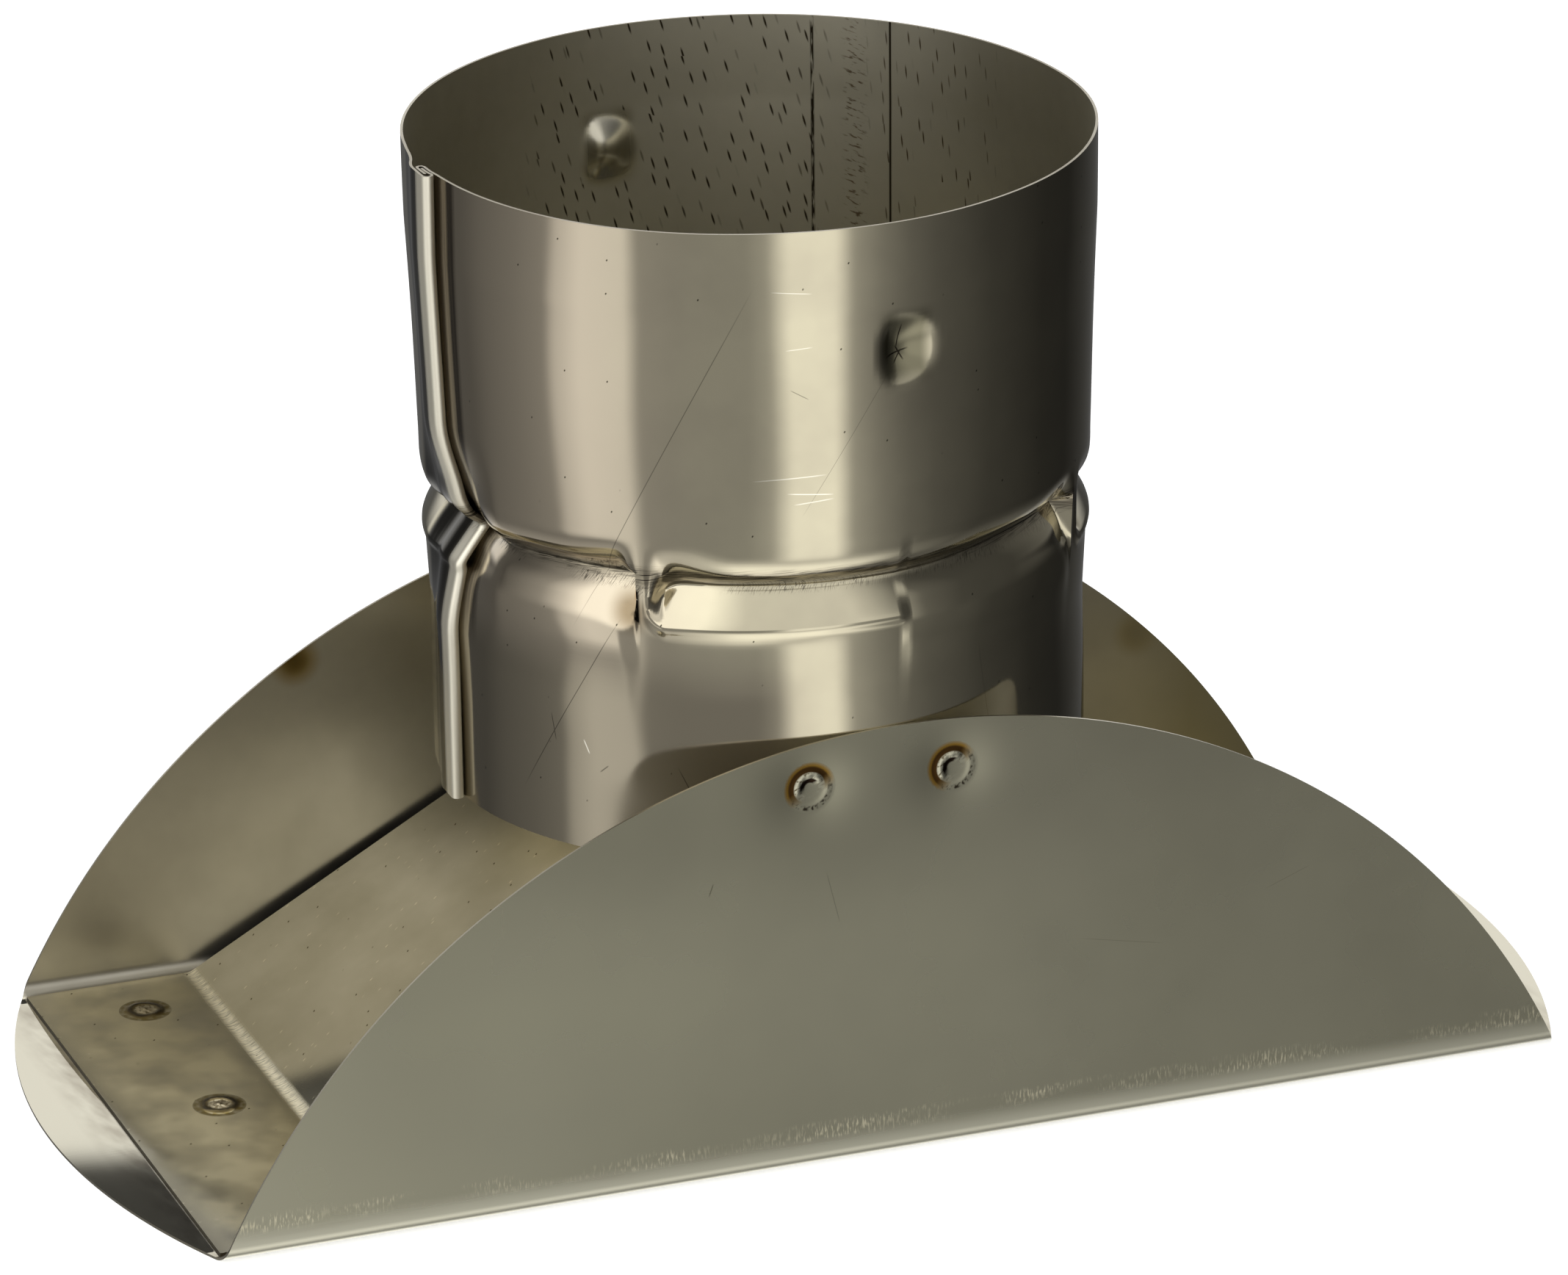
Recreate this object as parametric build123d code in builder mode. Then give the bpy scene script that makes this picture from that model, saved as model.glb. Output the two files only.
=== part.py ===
# Stove pipe termination cap in thin stainless sheet, millimetres.
# The origin is the middle of the cap plate's underside, X runs along its two folds and Z up.

from build123d import *
from math import asin, ceil, cos, degrees, hypot, pi, radians, sin, sqrt
import os

# Sheet, and the room left between pieces and between the layers of the seam
sheet = 0.4
seam_gap = 0.15
seat_gap = 0.05
side_gap = 0.1
ridge_gap = 2.4

# Pipe collar: one rolled sheet, closed by a lock seam
mouth_radius = 51.0
mouth_length = 13.0
tube_step = 2.0
upper_length = 55.0
collar_lap_length = 20.1
collar_offset = -4.3
collar_lean = 1.0

# Groove rolled round the collar, with the swollen bead under it, stepped in from the mouth
groove_step = 5.0
shoulder_step = 1.05
shoulder_rise = 7.5
bead_step = 0.6
bead_drop = 8.0
bead_foot_length = 9.5
bead_clear = 5.1
bead_power = 1.7

# Lock seam, measured along the wall (u, anticlockwise) and out of it (v)
seam_angle = -175.5
seam_reach = 14.0
seam_flat_length = 0.5
seam_roll_radius = 0.75
seam_roll_offset = 0.45
seam_lap_length = 3.2
seam_dip_depth = 0.1
seam_sink_depth = 3.0
seam_sink_reach = 17.0
seam_step_length = 2.0

# Dimples in the mouth, and pinches in the bead where the rolling tool let go
dimple_drop = 19.0
dimple_half_width = 4.2
dimple_depth = 2.75
pinch_radius = 1.3
pinch_depth = 1.6
pinch_length = 4.4
pinch_rise = 1.4

# Cap plate: one disc with both sides folded up into wings, splayed out from the collar
disc_radius = 117.4
fold_radius = 2.0
wing_splay = 1.8

# Deflector: a gable of sheet that splits the flue gas left and right
tab_length = 26.3
deflector_bend_radius = 2.0

# Plug welds
weld_radius = 3.0
weld_proud_height = 0.25
wing_weld_offset = 11.2
wing_weld_drop = 7.9
tab_weld_inset = 15.5
tab_weld_pitch = 37.0

# Worked out: the folded disc
tube_radius = mouth_radius - tube_step
strip_half_width = tube_radius + wing_splay
flat_half = strip_half_width - fold_radius - sheet
fold_middle_radius = fold_radius + sheet / 2
wing_slope_length = disc_radius - flat_half - fold_middle_radius * pi / 2
wing_lean = degrees(asin((wing_splay - sheet - seat_gap) / wing_slope_length))
fold_turn = 90 + wing_lean
wing_start = flat_half + fold_middle_radius * radians(fold_turn)
strip_half_chord = sqrt(disc_radius**2 - flat_half**2)
wing_half_chord = sqrt(disc_radius**2 - wing_start**2)
wing_foot_y = flat_half + fold_radius * sin(radians(fold_turn))
wing_foot_z = sheet + fold_radius - fold_radius * cos(radians(fold_turn))
wing_inside = Plane(
    origin=(0, wing_foot_y, wing_foot_z),
    x_dir=(-1, 0, 0),
    z_dir=(0, cos(radians(wing_lean)), sin(radians(wing_lean))),
)
wing_top = wing_foot_z + (disc_radius - wing_start) * cos(radians(wing_lean))
wing_weld_height = wing_top - wing_weld_drop
wing_weld_rise = (wing_weld_height - wing_foot_z) / cos(radians(wing_lean))
wing_weld_points = [
    (-(collar_offset + side * wing_weld_offset), wing_weld_rise) for side in (-1, 1)
]

# Worked out: the collar hangs between the wings, its bead clear above their tops
collar_bottom = wing_top - collar_lap_length
foot_height = wing_top + bead_clear
bead_height = foot_height + bead_foot_length
groove_height = bead_height + bead_drop
shoulder_height = groove_height + shoulder_rise
collar_top = groove_height + upper_length
mouth_bottom = collar_top - mouth_length
groove_radius = mouth_radius - groove_step
shoulder_radius = mouth_radius - shoulder_step
bead_radius = mouth_radius - bead_step
collar_place = Location(
    (collar_offset, 0, wing_weld_height), (0, -collar_lean, 0)
) * Location((0, 0, -wing_weld_height))

# Worked out: the deflector, its ridge just under the collar
deflector_reach = (strip_half_chord + wing_half_chord) / 2
deflector_half_width = flat_half - side_gap
slope_foot = deflector_reach - tab_length
ridge_height = collar_bottom - ridge_gap - sheet
tab_weld_points = [
    (side * (deflector_reach - tab_weld_inset), step * tab_weld_pitch)
    for side in (-1, 1)
    for step in (-1, 0, 1)
]

# Levels of the collar, closer together where its wall curves
collar_levels = [
    collar_bottom,
    foot_height,
    *(foot_height + share * bead_foot_length for share in (0.35, 0.7, 1)),
    *(bead_height + share * bead_drop for share in (0.2, 0.45, 0.7, 1)),
    *(groove_height + share * shoulder_rise for share in (0.3, 0.6, 1)),
    groove_height + 0.7 * seam_sink_reach,
    groove_height + seam_sink_reach,
    mouth_bottom,
    collar_top,
]


def wall_radius(height):
    """Outside radius of the collar at this height, away from the seam."""
    if height >= mouth_bottom:
        return mouth_radius
    if height >= shoulder_height:
        share = (height - shoulder_height) / (mouth_bottom - shoulder_height)
        return shoulder_radius + share * (mouth_radius - shoulder_radius)
    if height >= groove_height:
        share = (height - groove_height) / shoulder_rise
        return shoulder_radius - (shoulder_radius - groove_radius) * (1 - share) ** 2
    if height >= bead_height:
        share = (height - bead_height) / bead_drop
        return bead_radius - (bead_radius - groove_radius) * share**bead_power
    if height >= foot_height:
        share = (height - foot_height) / bead_foot_length
        return tube_radius + (bead_radius - tube_radius) * share**2 * (3 - 2 * share)
    return tube_radius


def fade(distance, reach):
    """One at no distance, falling smoothly to nought at the reach."""
    return max(0.0, 1 - (distance / reach) ** 2) ** 2


def divide(path):
    """The path with points added along its long runs, so that it can bend round the collar."""
    points = []
    for (u0, v0), (u1, v1) in zip(path, path[1:]):
        count = ceil(hypot(u1 - u0, v1 - v0) / seam_step_length)
        for step in range(count):
            points.append((u0 + (u1 - u0) * step / count, v0 + (v1 - v0) * step / count))
    return [*points, path[-1]]


def thicken(path):
    """Closed outline of sheet whose middle follows a path, with mitred corners."""
    path = divide(path)
    normals = []
    for (u0, v0), (u1, v1) in zip(path, path[1:]):
        length = hypot(u1 - u0, v1 - v0)
        normals.append((-(v1 - v0) / length, (u1 - u0) / length))
    near, far = [], []
    for (u, v), before, after in zip(path, normals[:1] + normals, normals + normals[-1:]):
        reach = sheet / 2 / (1 + before[0] * after[0] + before[1] * after[1])
        step_u = reach * (before[0] + after[0])
        step_v = reach * (before[1] + after[1])
        near.append((u + step_u, v + step_v))
        far.append((u - step_u, v - step_v))
    return near + far[::-1]


def seam_section(outline, height):
    """Outline of one side of the seam, laid round the collar at a height."""
    middle = wall_radius(height) - sheet / 2
    sink = seam_sink_depth * fade(height - groove_height, seam_sink_reach)
    points = []
    for u, v in outline:
        radius = middle + v - sink * fade(u, seam_reach)
        turn = radians(seam_angle) + u / mouth_radius
        points.append((radius * cos(turn), radius * sin(turn)))
    return points


def arc_points(centre_u, centre_v, radius, angles):
    """Points of an arc of the seam's path."""
    return [
        (centre_u + radius * cos(radians(angle)), centre_v + radius * sin(radians(angle)))
        for angle in angles
    ]


# The seam's four layers, from the inside out
layer = sheet + seam_gap
layer_v = [layer * (step + 0.1) for step in range(4)]
roll_side = [
    (-seam_reach, 0),
    (seam_flat_length - seam_reach, 0),
    (-seam_lap_length * 2.5, layer_v[0] + 0.4 * layer),
    (-seam_lap_length * 1.45, layer_v[3] - 0.1 * layer),
    (-seam_lap_length * 0.6, layer_v[3]),
    *arc_points(seam_roll_offset, layer_v[2], seam_roll_radius, (90, 45, 0, -45, -90)),
    (seam_roll_offset - 1.4 * seam_roll_radius, layer_v[1]),
    (-seam_lap_length * 0.85, layer_v[1]),
]
hook_side = [
    (seam_reach, 0),
    (seam_reach - seam_flat_length, 0),
    (seam_lap_length * 1.6, -0.7 * seam_dip_depth),
    (seam_lap_length * 0.8, -seam_dip_depth),
    (seam_lap_length * 0.3, -seam_dip_depth),
    (-seam_lap_length * 0.25, layer_v[0]),
    *arc_points(-seam_lap_length, layer_v[1], layer, (-90, -135, 180, 135, 90)),
    (-seam_lap_length * 0.05, layer_v[2]),
]
seam_half_angle = degrees(seam_reach / mouth_radius)

# Pipe collar, built upright round its own axis
wall_start = radians(seam_angle + seam_half_angle)
wall_plane = Plane(
    origin=(0, 0, 0),
    x_dir=(cos(wall_start), sin(wall_start), 0),
    z_dir=(sin(wall_start), -cos(wall_start), 0),
)
outside = [(wall_radius(height), height) for height in collar_levels]

with BuildPart() as roll_lap:
    for height in collar_levels:
        with BuildSketch(Plane.XY.offset(height)):
            with BuildLine():
                Polyline(seam_section(thicken(roll_side), height), close=True)
            make_face()
    loft(ruled=True)

with BuildPart() as hook_lap:
    for height in collar_levels:
        with BuildSketch(Plane.XY.offset(height)):
            with BuildLine():
                Polyline(seam_section(thicken(hook_side), height), close=True)
            make_face()
    loft(ruled=True)

# The hollow of the collar, out to the middle of its wall: it trims the backs of the dents
with BuildPart() as hollow:
    with BuildSketch(Plane.XZ):
        with BuildLine():
            half_way = [(radius - sheet / 2, height) for radius, height in outside]
            Polyline((0, collar_bottom), *half_way, (0, collar_top), close=True)
        make_face()
    revolve(axis=Axis.Z)

dimple_height = collar_top - dimple_drop
dimple_radius = (dimple_half_width**2 + dimple_depth**2) / (2 * dimple_depth)
dimple_axis_radius = wall_radius(dimple_height) + dimple_radius - dimple_depth
pinch_height = bead_height + pinch_rise
pinch_axis_radius = bead_radius + pinch_radius - pinch_depth


def round_the_seam(radius, count, start, height):
    """Places spaced evenly round the collar, from an angle off its seam."""
    places = []
    for step in range(count):
        turn = radians(seam_angle + start + step * 360 / count)
        places.append(Pos(radius * cos(turn), radius * sin(turn), height))
    return places


def dent_tools(extra):
    """Round-ended tools of all the dents, this much larger all round than the dents."""
    tools = []
    for place in round_the_seam(dimple_axis_radius, 2, 90, dimple_height):
        tools.append(place * Sphere(dimple_radius + extra))
    for place in round_the_seam(pinch_axis_radius, 4, 45, pinch_height):
        tools.append(place * Cylinder(pinch_radius + extra, pinch_length))
        for end in (-1, 1):
            tools.append(place * Pos(0, 0, end * pinch_length / 2) * Sphere(pinch_radius + extra))
    return tools


tools_for_dents = dent_tools(0)
tools_for_backs = dent_tools(sheet)

with BuildPart() as dent_backs:
    add(tools_for_backs)
    add(hollow.part, mode=Mode.INTERSECT)

with BuildPart() as upright_collar:
    with BuildSketch(wall_plane):
        with BuildLine():
            inside = [(radius - sheet, height) for radius, height in outside]
            Polyline(*outside, *inside[::-1], close=True)
        make_face()
    revolve(axis=Axis.Z, revolution_arc=360 - 2 * seam_half_angle)
    add(roll_lap.part)
    add(hook_lap.part)
    add(dent_backs.part)
    add(tools_for_dents, mode=Mode.SUBTRACT)

with BuildPart() as pipe_collar:
    with Locations(collar_place):
        add(upright_collar.part)

# Cap plate, half of it and then its mirror image
chord_loss = strip_half_chord - wing_half_chord
fold_run = wing_foot_y + sheet / 2 - flat_half

with BuildPart() as fold:
    with BuildSketch(Plane.YZ):
        with BuildLine():
            fold_centre = (flat_half, sheet + fold_radius)
            CenterArc(fold_centre, fold_radius, -90, fold_turn)
            CenterArc(fold_centre, fold_radius + sheet, -90, fold_turn)
            Line((flat_half, 0), (flat_half, sheet))
            Line(
                PolarLine(fold_centre, fold_radius, fold_turn - 90, mode=Mode.PRIVATE) @ 1,
                PolarLine(fold_centre, fold_radius + sheet, fold_turn - 90, mode=Mode.PRIVATE) @ 1,
            )
        make_face()
    extrude(amount=disc_radius, both=True)
    for side in (-1, 1):
        end_plane = Plane(
            origin=(side * strip_half_chord, flat_half, 0),
            z_dir=(side * fold_run, chord_loss, 0),
        )
        split(bisect_by=end_plane, keep=Keep.BOTTOM)

with BuildPart() as cap_plate:
    with BuildSketch():
        Circle(disc_radius)
        Rectangle(
            2 * disc_radius, flat_half, align=(Align.CENTER, Align.MIN), mode=Mode.INTERSECT
        )
    extrude(amount=sheet)
    add(fold.part)
    with BuildSketch(wing_inside):
        with Locations((0, -wing_start)):
            Circle(disc_radius)
        Rectangle(
            2 * disc_radius, disc_radius, align=(Align.CENTER, Align.MIN), mode=Mode.INTERSECT
        )
        with Locations(wing_weld_points):
            Circle(weld_radius, mode=Mode.SUBTRACT)
    extrude(amount=sheet)
    mirror(about=Plane.XZ)

# Deflector: tabs flat on the strip, slopes up to a ridge under the collar
with BuildPart() as deflector_plate:
    with BuildSketch(Plane.XZ):
        with BuildLine():
            FilletPolyline(
                (-deflector_reach, sheet),
                (-slope_foot, sheet),
                (0, ridge_height),
                (slope_foot, sheet),
                (deflector_reach, sheet),
                radius=deflector_bend_radius,
            )
            offset(amount=sheet, side=Side.LEFT)
        make_face()
    extrude(amount=deflector_half_width, both=True)
    with Locations(Plane.XY):
        with Locations(tab_weld_points):
            Cylinder(
                weld_radius, 3 * sheet, align=(Align.CENTER, Align.CENTER, Align.MIN),
                mode=Mode.SUBTRACT,
            )

# Plug welds through the wings into the collar
with BuildPart() as wing_welds:
    with BuildSketch(wing_inside.offset(sheet + weld_proud_height)):
        with Locations(wing_weld_points):
            Circle(weld_radius)
    extrude(amount=-(sheet + weld_proud_height + wing_splay + weld_proud_height))
    mirror(about=Plane.XZ)
    with Locations(collar_place):
        Cylinder(
            tube_radius, 2 * collar_bottom, align=(Align.CENTER, Align.CENTER, Align.MIN),
            mode=Mode.SUBTRACT,
        )

# Plug welds through the tabs into the strip
with BuildPart() as tab_welds:
    with BuildSketch(Plane.XY.offset(sheet)):
        with Locations(tab_weld_points):
            Circle(weld_radius)
    extrude(amount=sheet + weld_proud_height)

os.makedirs("parts", exist_ok=True)
pieces = {
    "pipe_collar": pipe_collar,
    "cap_plate": cap_plate,
    "deflector_plate": deflector_plate,
    "wing_welds": wing_welds,
    "tab_welds": tab_welds,
}
for name, piece in pieces.items():
    piece.part.label = name
    export_step(piece.part, f"parts/{name}.step")
    print(name, "solids", len(piece.part.solids()), "volume", round(piece.part.volume, 1))
print("wing lean", round(wing_lean, 3), "collar bottom", round(collar_bottom, 2))
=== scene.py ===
"""Stove pipe termination cap in thin stainless sheet: its finished surfaces, light and camera."""

import logging
from dataclasses import dataclass
from enum import Enum
from math import atan, cos, pi, radians, sin, sqrt, tan

import bpy
import numpy as np
from mathutils import Matrix, Vector


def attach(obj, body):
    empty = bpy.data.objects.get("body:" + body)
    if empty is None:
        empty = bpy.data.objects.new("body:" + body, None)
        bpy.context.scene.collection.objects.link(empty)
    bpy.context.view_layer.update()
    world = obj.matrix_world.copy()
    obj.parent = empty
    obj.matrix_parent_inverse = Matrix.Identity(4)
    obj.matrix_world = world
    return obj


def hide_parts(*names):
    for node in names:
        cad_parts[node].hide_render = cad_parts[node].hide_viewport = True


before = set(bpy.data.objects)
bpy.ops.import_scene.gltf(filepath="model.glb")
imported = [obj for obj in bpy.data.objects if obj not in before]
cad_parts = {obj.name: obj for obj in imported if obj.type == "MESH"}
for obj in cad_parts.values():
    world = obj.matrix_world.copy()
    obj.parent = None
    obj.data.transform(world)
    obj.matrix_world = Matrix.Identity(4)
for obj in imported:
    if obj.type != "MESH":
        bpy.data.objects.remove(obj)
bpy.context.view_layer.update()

log = logging.getLogger("cap")

Tree = bpy.types.NodeTree
Material = bpy.types.Material
Piece = bpy.types.Object
# What feeds an input of a node: an output, or a node for its first output
Source = bpy.types.Node | bpy.types.NodeSocket

MM = 0.001
# Shading is smooth up to this angle between faces, in degrees
SMOOTH_ANGLE = 40.0
# Points of the fine line from which uneven spacing is read
SPREAD_POINTS = 20001
# Sockets of a mix node: the two colours and their result, the two plain numbers
FIRST_COLOUR, SECOND_COLOUR, MIXED_COLOUR = 6, 7, 2
FIRST_NUMBER, SECOND_NUMBER = 2, 3


class Side(Enum):
    """Material slots of a piece of sheet: the side its normals leave, the other one, the cut edge."""

    FACE = 0
    BACK = 1
    EDGE = 2


def linear(code: str) -> tuple[float, float, float, float]:
    """Turn an sRGB hex colour into the linear one that a socket takes.

    Args:
        code: the colour as six hex digits.

    Returns:
        Red, green, blue and alpha.
    """
    parts = [int(code[start : start + 2], 16) / 255 for start in (1, 3, 5)]
    light = [c / 12.92 if c <= 0.04045 else ((c + 0.055) / 1.055) ** 2.4 for c in parts]
    return (*light, 1.0)


def add_node(
    tree: Tree,
    kind: str,
    settings: dict[str | int, object] | None = None,
    links: dict[str | int, Source] | None = None,
) -> bpy.types.Node:
    """Add one node to a tree.

    Args:
        tree: the node tree.
        kind: the node's type name.
        settings: values of its properties, or of its inputs by name or place.
        links: the output, or the node whose first output, feeds each input, by name or place.

    Returns:
        The new node.
    """
    node = tree.nodes.new(kind)
    for key, value in (settings or {}).items():
        if isinstance(key, str) and hasattr(node, key):
            setattr(node, key, value)
        else:
            node.inputs[key].default_value = value
    for key, source in (links or {}).items():
        socket = source.outputs[0] if isinstance(source, bpy.types.Node) else source
        tree.links.new(socket, node.inputs[key])
    return node


def set_stops(ramp: bpy.types.Node, stops: list[tuple[float, float]]) -> None:
    """Give a ramp its grey stops.

    Args:
        ramp: the colour ramp node.
        stops: place and linear brightness of each stop, in order.
    """
    elements = ramp.color_ramp.elements
    while len(elements) > 1:
        elements.remove(elements[-1])
    elements[0].position = stops[0][0]
    for place, grey in stops:
        stop = elements[0] if place == stops[0][0] else elements.new(place)
        stop.color = (grey, grey, grey, 1.0)


def deselect() -> None:
    """Leave edit mode and select nothing."""
    if bpy.context.object and bpy.context.object.mode != "OBJECT":
        bpy.ops.object.mode_set(mode="OBJECT")
    bpy.ops.object.select_all(action="DESELECT")


def soft_step(values: np.ndarray, start: float, end: float) -> np.ndarray:
    """Rise smoothly from nought to one between two values.

    Args:
        values: the values.
        start: value up to which the result is nought.
        end: value from which it is one.

    Returns:
        The share at each value.
    """
    share = np.clip((values - start) / (end - start), 0, 1)
    return share * share * (3 - 2 * share)


def hump(values: np.ndarray, width: float) -> np.ndarray:
    """Bell that is one at nought and fades over about twice the width.

    Args:
        values: the values.
        width: distance from nought at which the bell is 1/e.

    Returns:
        Height of the bell at each value.
    """
    return np.exp(-((values / width) ** 2))


def spread(start: float, end: float, count: int, spots: list[tuple[float, float, float]]) -> np.ndarray:
    """Space points along a line, closer together at some spots.

    Args:
        start: first point.
        end: last point.
        count: how many points.
        spots: middle, half-width and extra density of each spot.

    Returns:
        The points in order.
    """
    fine = np.linspace(start, end, SPREAD_POINTS)
    density = np.ones_like(fine)
    for middle, half_width, extra in spots:
        density += extra / (1 + np.abs((fine - middle) / half_width) ** 6)
    total = np.concatenate(([0.0], np.cumsum((density[1:] + density[:-1]) / 2)))
    return np.interp(np.linspace(0, total[-1], count), total, fine)


def formed_sheet(name: str, points: np.ndarray, spots: np.ndarray) -> Piece:
    """Form a flat grid into a curved surface.

    Args:
        name: name of the piece.
        points: place of every grid point, rows by columns by three, in millimetres.
        spots: place of every grid point on the flat sheet, rows by columns by two.

    Returns:
        The surface, one face thick, with a UV map in metres of flat sheet.
    """
    rows, columns = points.shape[:2]
    deselect()
    bpy.ops.mesh.primitive_grid_add(x_subdivisions=columns - 1, y_subdivisions=rows - 1, size=2)
    piece = bpy.context.object
    piece.name = piece.data.name = name
    mesh = piece.data
    flat = np.empty(len(mesh.vertices) * 3)
    mesh.vertices.foreach_get("co", flat)
    flat = flat.reshape(-1, 3)
    column = np.rint((flat[:, 0] + 1) / 2 * (columns - 1)).astype(int)
    row = np.rint((flat[:, 1] + 1) / 2 * (rows - 1)).astype(int)
    mesh.vertices.foreach_set("co", (points[row, column] * MM).ravel())
    corners = np.empty(len(mesh.loops), dtype=int)
    mesh.loops.foreach_get("vertex_index", corners)
    mesh.uv_layers.active.data.foreach_set("uv", (spots[row, column] * MM)[corners].ravel())
    mesh.update()
    return piece


def give_thickness(piece: Piece, thickness: float, finishes: list[Material]) -> None:
    """Make a surface a closed sheet with a finish for each side, and shade it smooth.

    Args:
        piece: the surface, half way through the sheet.
        thickness: thickness of the sheet in millimetres.
        finishes: materials in the order of Side.
    """
    piece.data.materials.clear()
    for finish in finishes:
        piece.data.materials.append(finish)
    deselect()
    bpy.context.view_layer.objects.active = piece
    piece.select_set(True)
    wall = piece.modifiers.new("wall", "SOLIDIFY")
    wall.thickness = thickness * MM
    wall.offset = 0
    wall.use_even_offset = True
    wall.material_offset = Side.BACK.value
    wall.material_offset_rim = Side.EDGE.value
    bpy.ops.object.modifier_apply(modifier=wall.name)
    bpy.ops.object.shade_smooth_by_angle(angle=radians(SMOOTH_ANGLE))
    deselect()


@dataclass(frozen=True)
class Scratch:
    """One drawn line on the flat sheet, in millimetres of the piece's UV map."""

    middle: tuple[float, float]
    length: float
    angle: float
    width: float = 0.12
    strength: float = 0.6


def scratch_mask(
    tree: Tree, place: Source, scratches: list[Scratch]
) -> Source | None:
    """Draw fine lines in a material.

    Args:
        tree: the material's node tree.
        place: the UV map in metres.
        scratches: the lines.

    Returns:
        How far each point is covered by a line, or nothing without lines.
    """
    total = None
    for line in scratches:
        turned = add_node(
            tree,
            "ShaderNodeMapping",
            {
                "vector_type": "TEXTURE",
                "Location": (line.middle[0] * MM, line.middle[1] * MM, 0),
                "Rotation": (0, 0, radians(line.angle)),
                "Scale": (line.length * MM / 2, line.width * MM / 2, 1),
            },
            {"Vector": place},
        )
        along, across, _ = split(tree, turned)
        along = add_node(tree, "ShaderNodeMath", {"operation": "POWER", 1: 2.0}, {0: along})
        across = add_node(tree, "ShaderNodeMath", {"operation": "POWER", 1: 2.0}, {0: across})
        far = add_node(tree, "ShaderNodeMath", {"operation": "MAXIMUM"}, {0: along, 1: across})
        inked = add_node(
            tree,
            "ShaderNodeMapRange",
            {"From Min": 1.0, "From Max": 0.35, "To Min": 0.0, "To Max": line.strength},
            {"Value": far},
        )
        if total is None:
            total = inked
        else:
            total = add_node(tree, "ShaderNodeMath", {"operation": "MAXIMUM"}, {0: total, 1: inked})
    return total


def split(
    tree: Tree, vector: Source
) -> tuple[Source, Source, Source]:
    """Take a vector apart.

    Args:
        tree: the material's node tree.
        vector: the vector.

    Returns:
        Its X, Y and Z.
    """
    parts = add_node(tree, "ShaderNodeSeparateXYZ", links={0: vector})
    return parts.outputs[0], parts.outputs[1], parts.outputs[2]


def near(
    tree: Tree, value: Source, middle: float, full: float, none: float
) -> Source:
    """Mask that is one within a distance of a value and falls to nought further away.

    Args:
        tree: the material's node tree.
        value: the value to compare, in metres.
        middle: the value at the middle of the mask, in millimetres.
        full: distance from it up to which the mask is one.
        none: distance from which it is nought.

    Returns:
        The mask.
    """
    off = add_node(tree, "ShaderNodeMath", {"operation": "SUBTRACT", 1: middle * MM}, {0: value})
    away = add_node(tree, "ShaderNodeMath", {"operation": "ABSOLUTE"}, {0: off})
    return add_node(
        tree,
        "ShaderNodeMapRange",
        {"From Min": none * MM, "From Max": full * MM, "interpolation_type": "SMOOTHSTEP"},
        {"Value": away},
    )


def product(tree: Tree, *masks: Source) -> Source:
    """Multiply masks.

    Args:
        tree: the material's node tree.
        masks: the masks.

    Returns:
        Their product.
    """
    result = masks[0]
    for mask in masks[1:]:
        result = add_node(tree, "ShaderNodeMath", {"operation": "MULTIPLY"}, {0: result, 1: mask})
    return result


def grit(
    tree: Tree,
    place: Source,
    size: tuple[float, float],
    angle: float,
    bounds: tuple[float, float],
) -> Source:
    """Short strokes or grains, from noise stretched along a direction.

    Args:
        tree: the material's node tree.
        place: the UV map in metres.
        size: length and width of a stroke in millimetres.
        angle: direction of the strokes in degrees from the U axis.
        bounds: noise values at which a stroke starts and is full.

    Returns:
        The mask of the strokes.
    """
    turned = add_node(
        tree,
        "ShaderNodeMapping",
        {
            "vector_type": "TEXTURE",
            "Rotation": (0, 0, radians(angle)),
            "Scale": (size[0] * MM, size[1] * MM, 1),
        },
        {"Vector": place},
    )
    noise = add_node(tree, "ShaderNodeTexNoise", {"Scale": 1.0, "Detail": 2.0}, {"Vector": turned})
    return add_node(
        tree,
        "ShaderNodeMapRange",
        {"From Min": bounds[0], "From Max": bounds[1]},
        {"Value": noise.outputs["Fac"]},
    )


def dashes(
    tree: Tree,
    place: Source,
    pitch: float,
    size: tuple[float, float],
    angle: float,
    share: float,
) -> Source:
    """Scattered straight strokes of one length.

    Args:
        tree: the material's node tree.
        place: the UV map in metres.
        pitch: mean distance between strokes in millimetres.
        size: length and width of a stroke in millimetres.
        angle: direction of the strokes in degrees from the U axis.
        share: share of the places that carry a stroke.

    Returns:
        The mask of the strokes.
    """
    cells = add_node(
        tree,
        "ShaderNodeTexVoronoi",
        {"voronoi_dimensions": "2D", "Scale": 1 / (pitch * MM)},
        {"Vector": place},
    )
    local = add_node(
        tree,
        "ShaderNodeVectorMath",
        {"operation": "SUBTRACT"},
        {0: place, 1: cells.outputs["Position"]},
    )
    turned = add_node(
        tree,
        "ShaderNodeMapping",
        {
            "vector_type": "TEXTURE",
            "Rotation": (0, 0, radians(angle)),
            "Scale": (size[0] * MM / 2, size[1] * MM / 2, 1),
        },
        {"Vector": local},
    )
    reach = add_node(tree, "ShaderNodeVectorMath", {"operation": "LENGTH"}, {0: turned})
    inked = add_node(
        tree,
        "ShaderNodeMapRange",
        {"From Min": 1.0, "From Max": 0.5},
        {"Value": reach.outputs["Value"]},
    )
    lot = add_node(tree, "ShaderNodeSeparateXYZ", links={0: cells.outputs["Color"]})
    drawn = add_node(
        tree, "ShaderNodeMapRange", {"From Min": share, "From Max": share * 0.6}, {"Value": lot}
    )
    return product(tree, inked, drawn)


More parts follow.
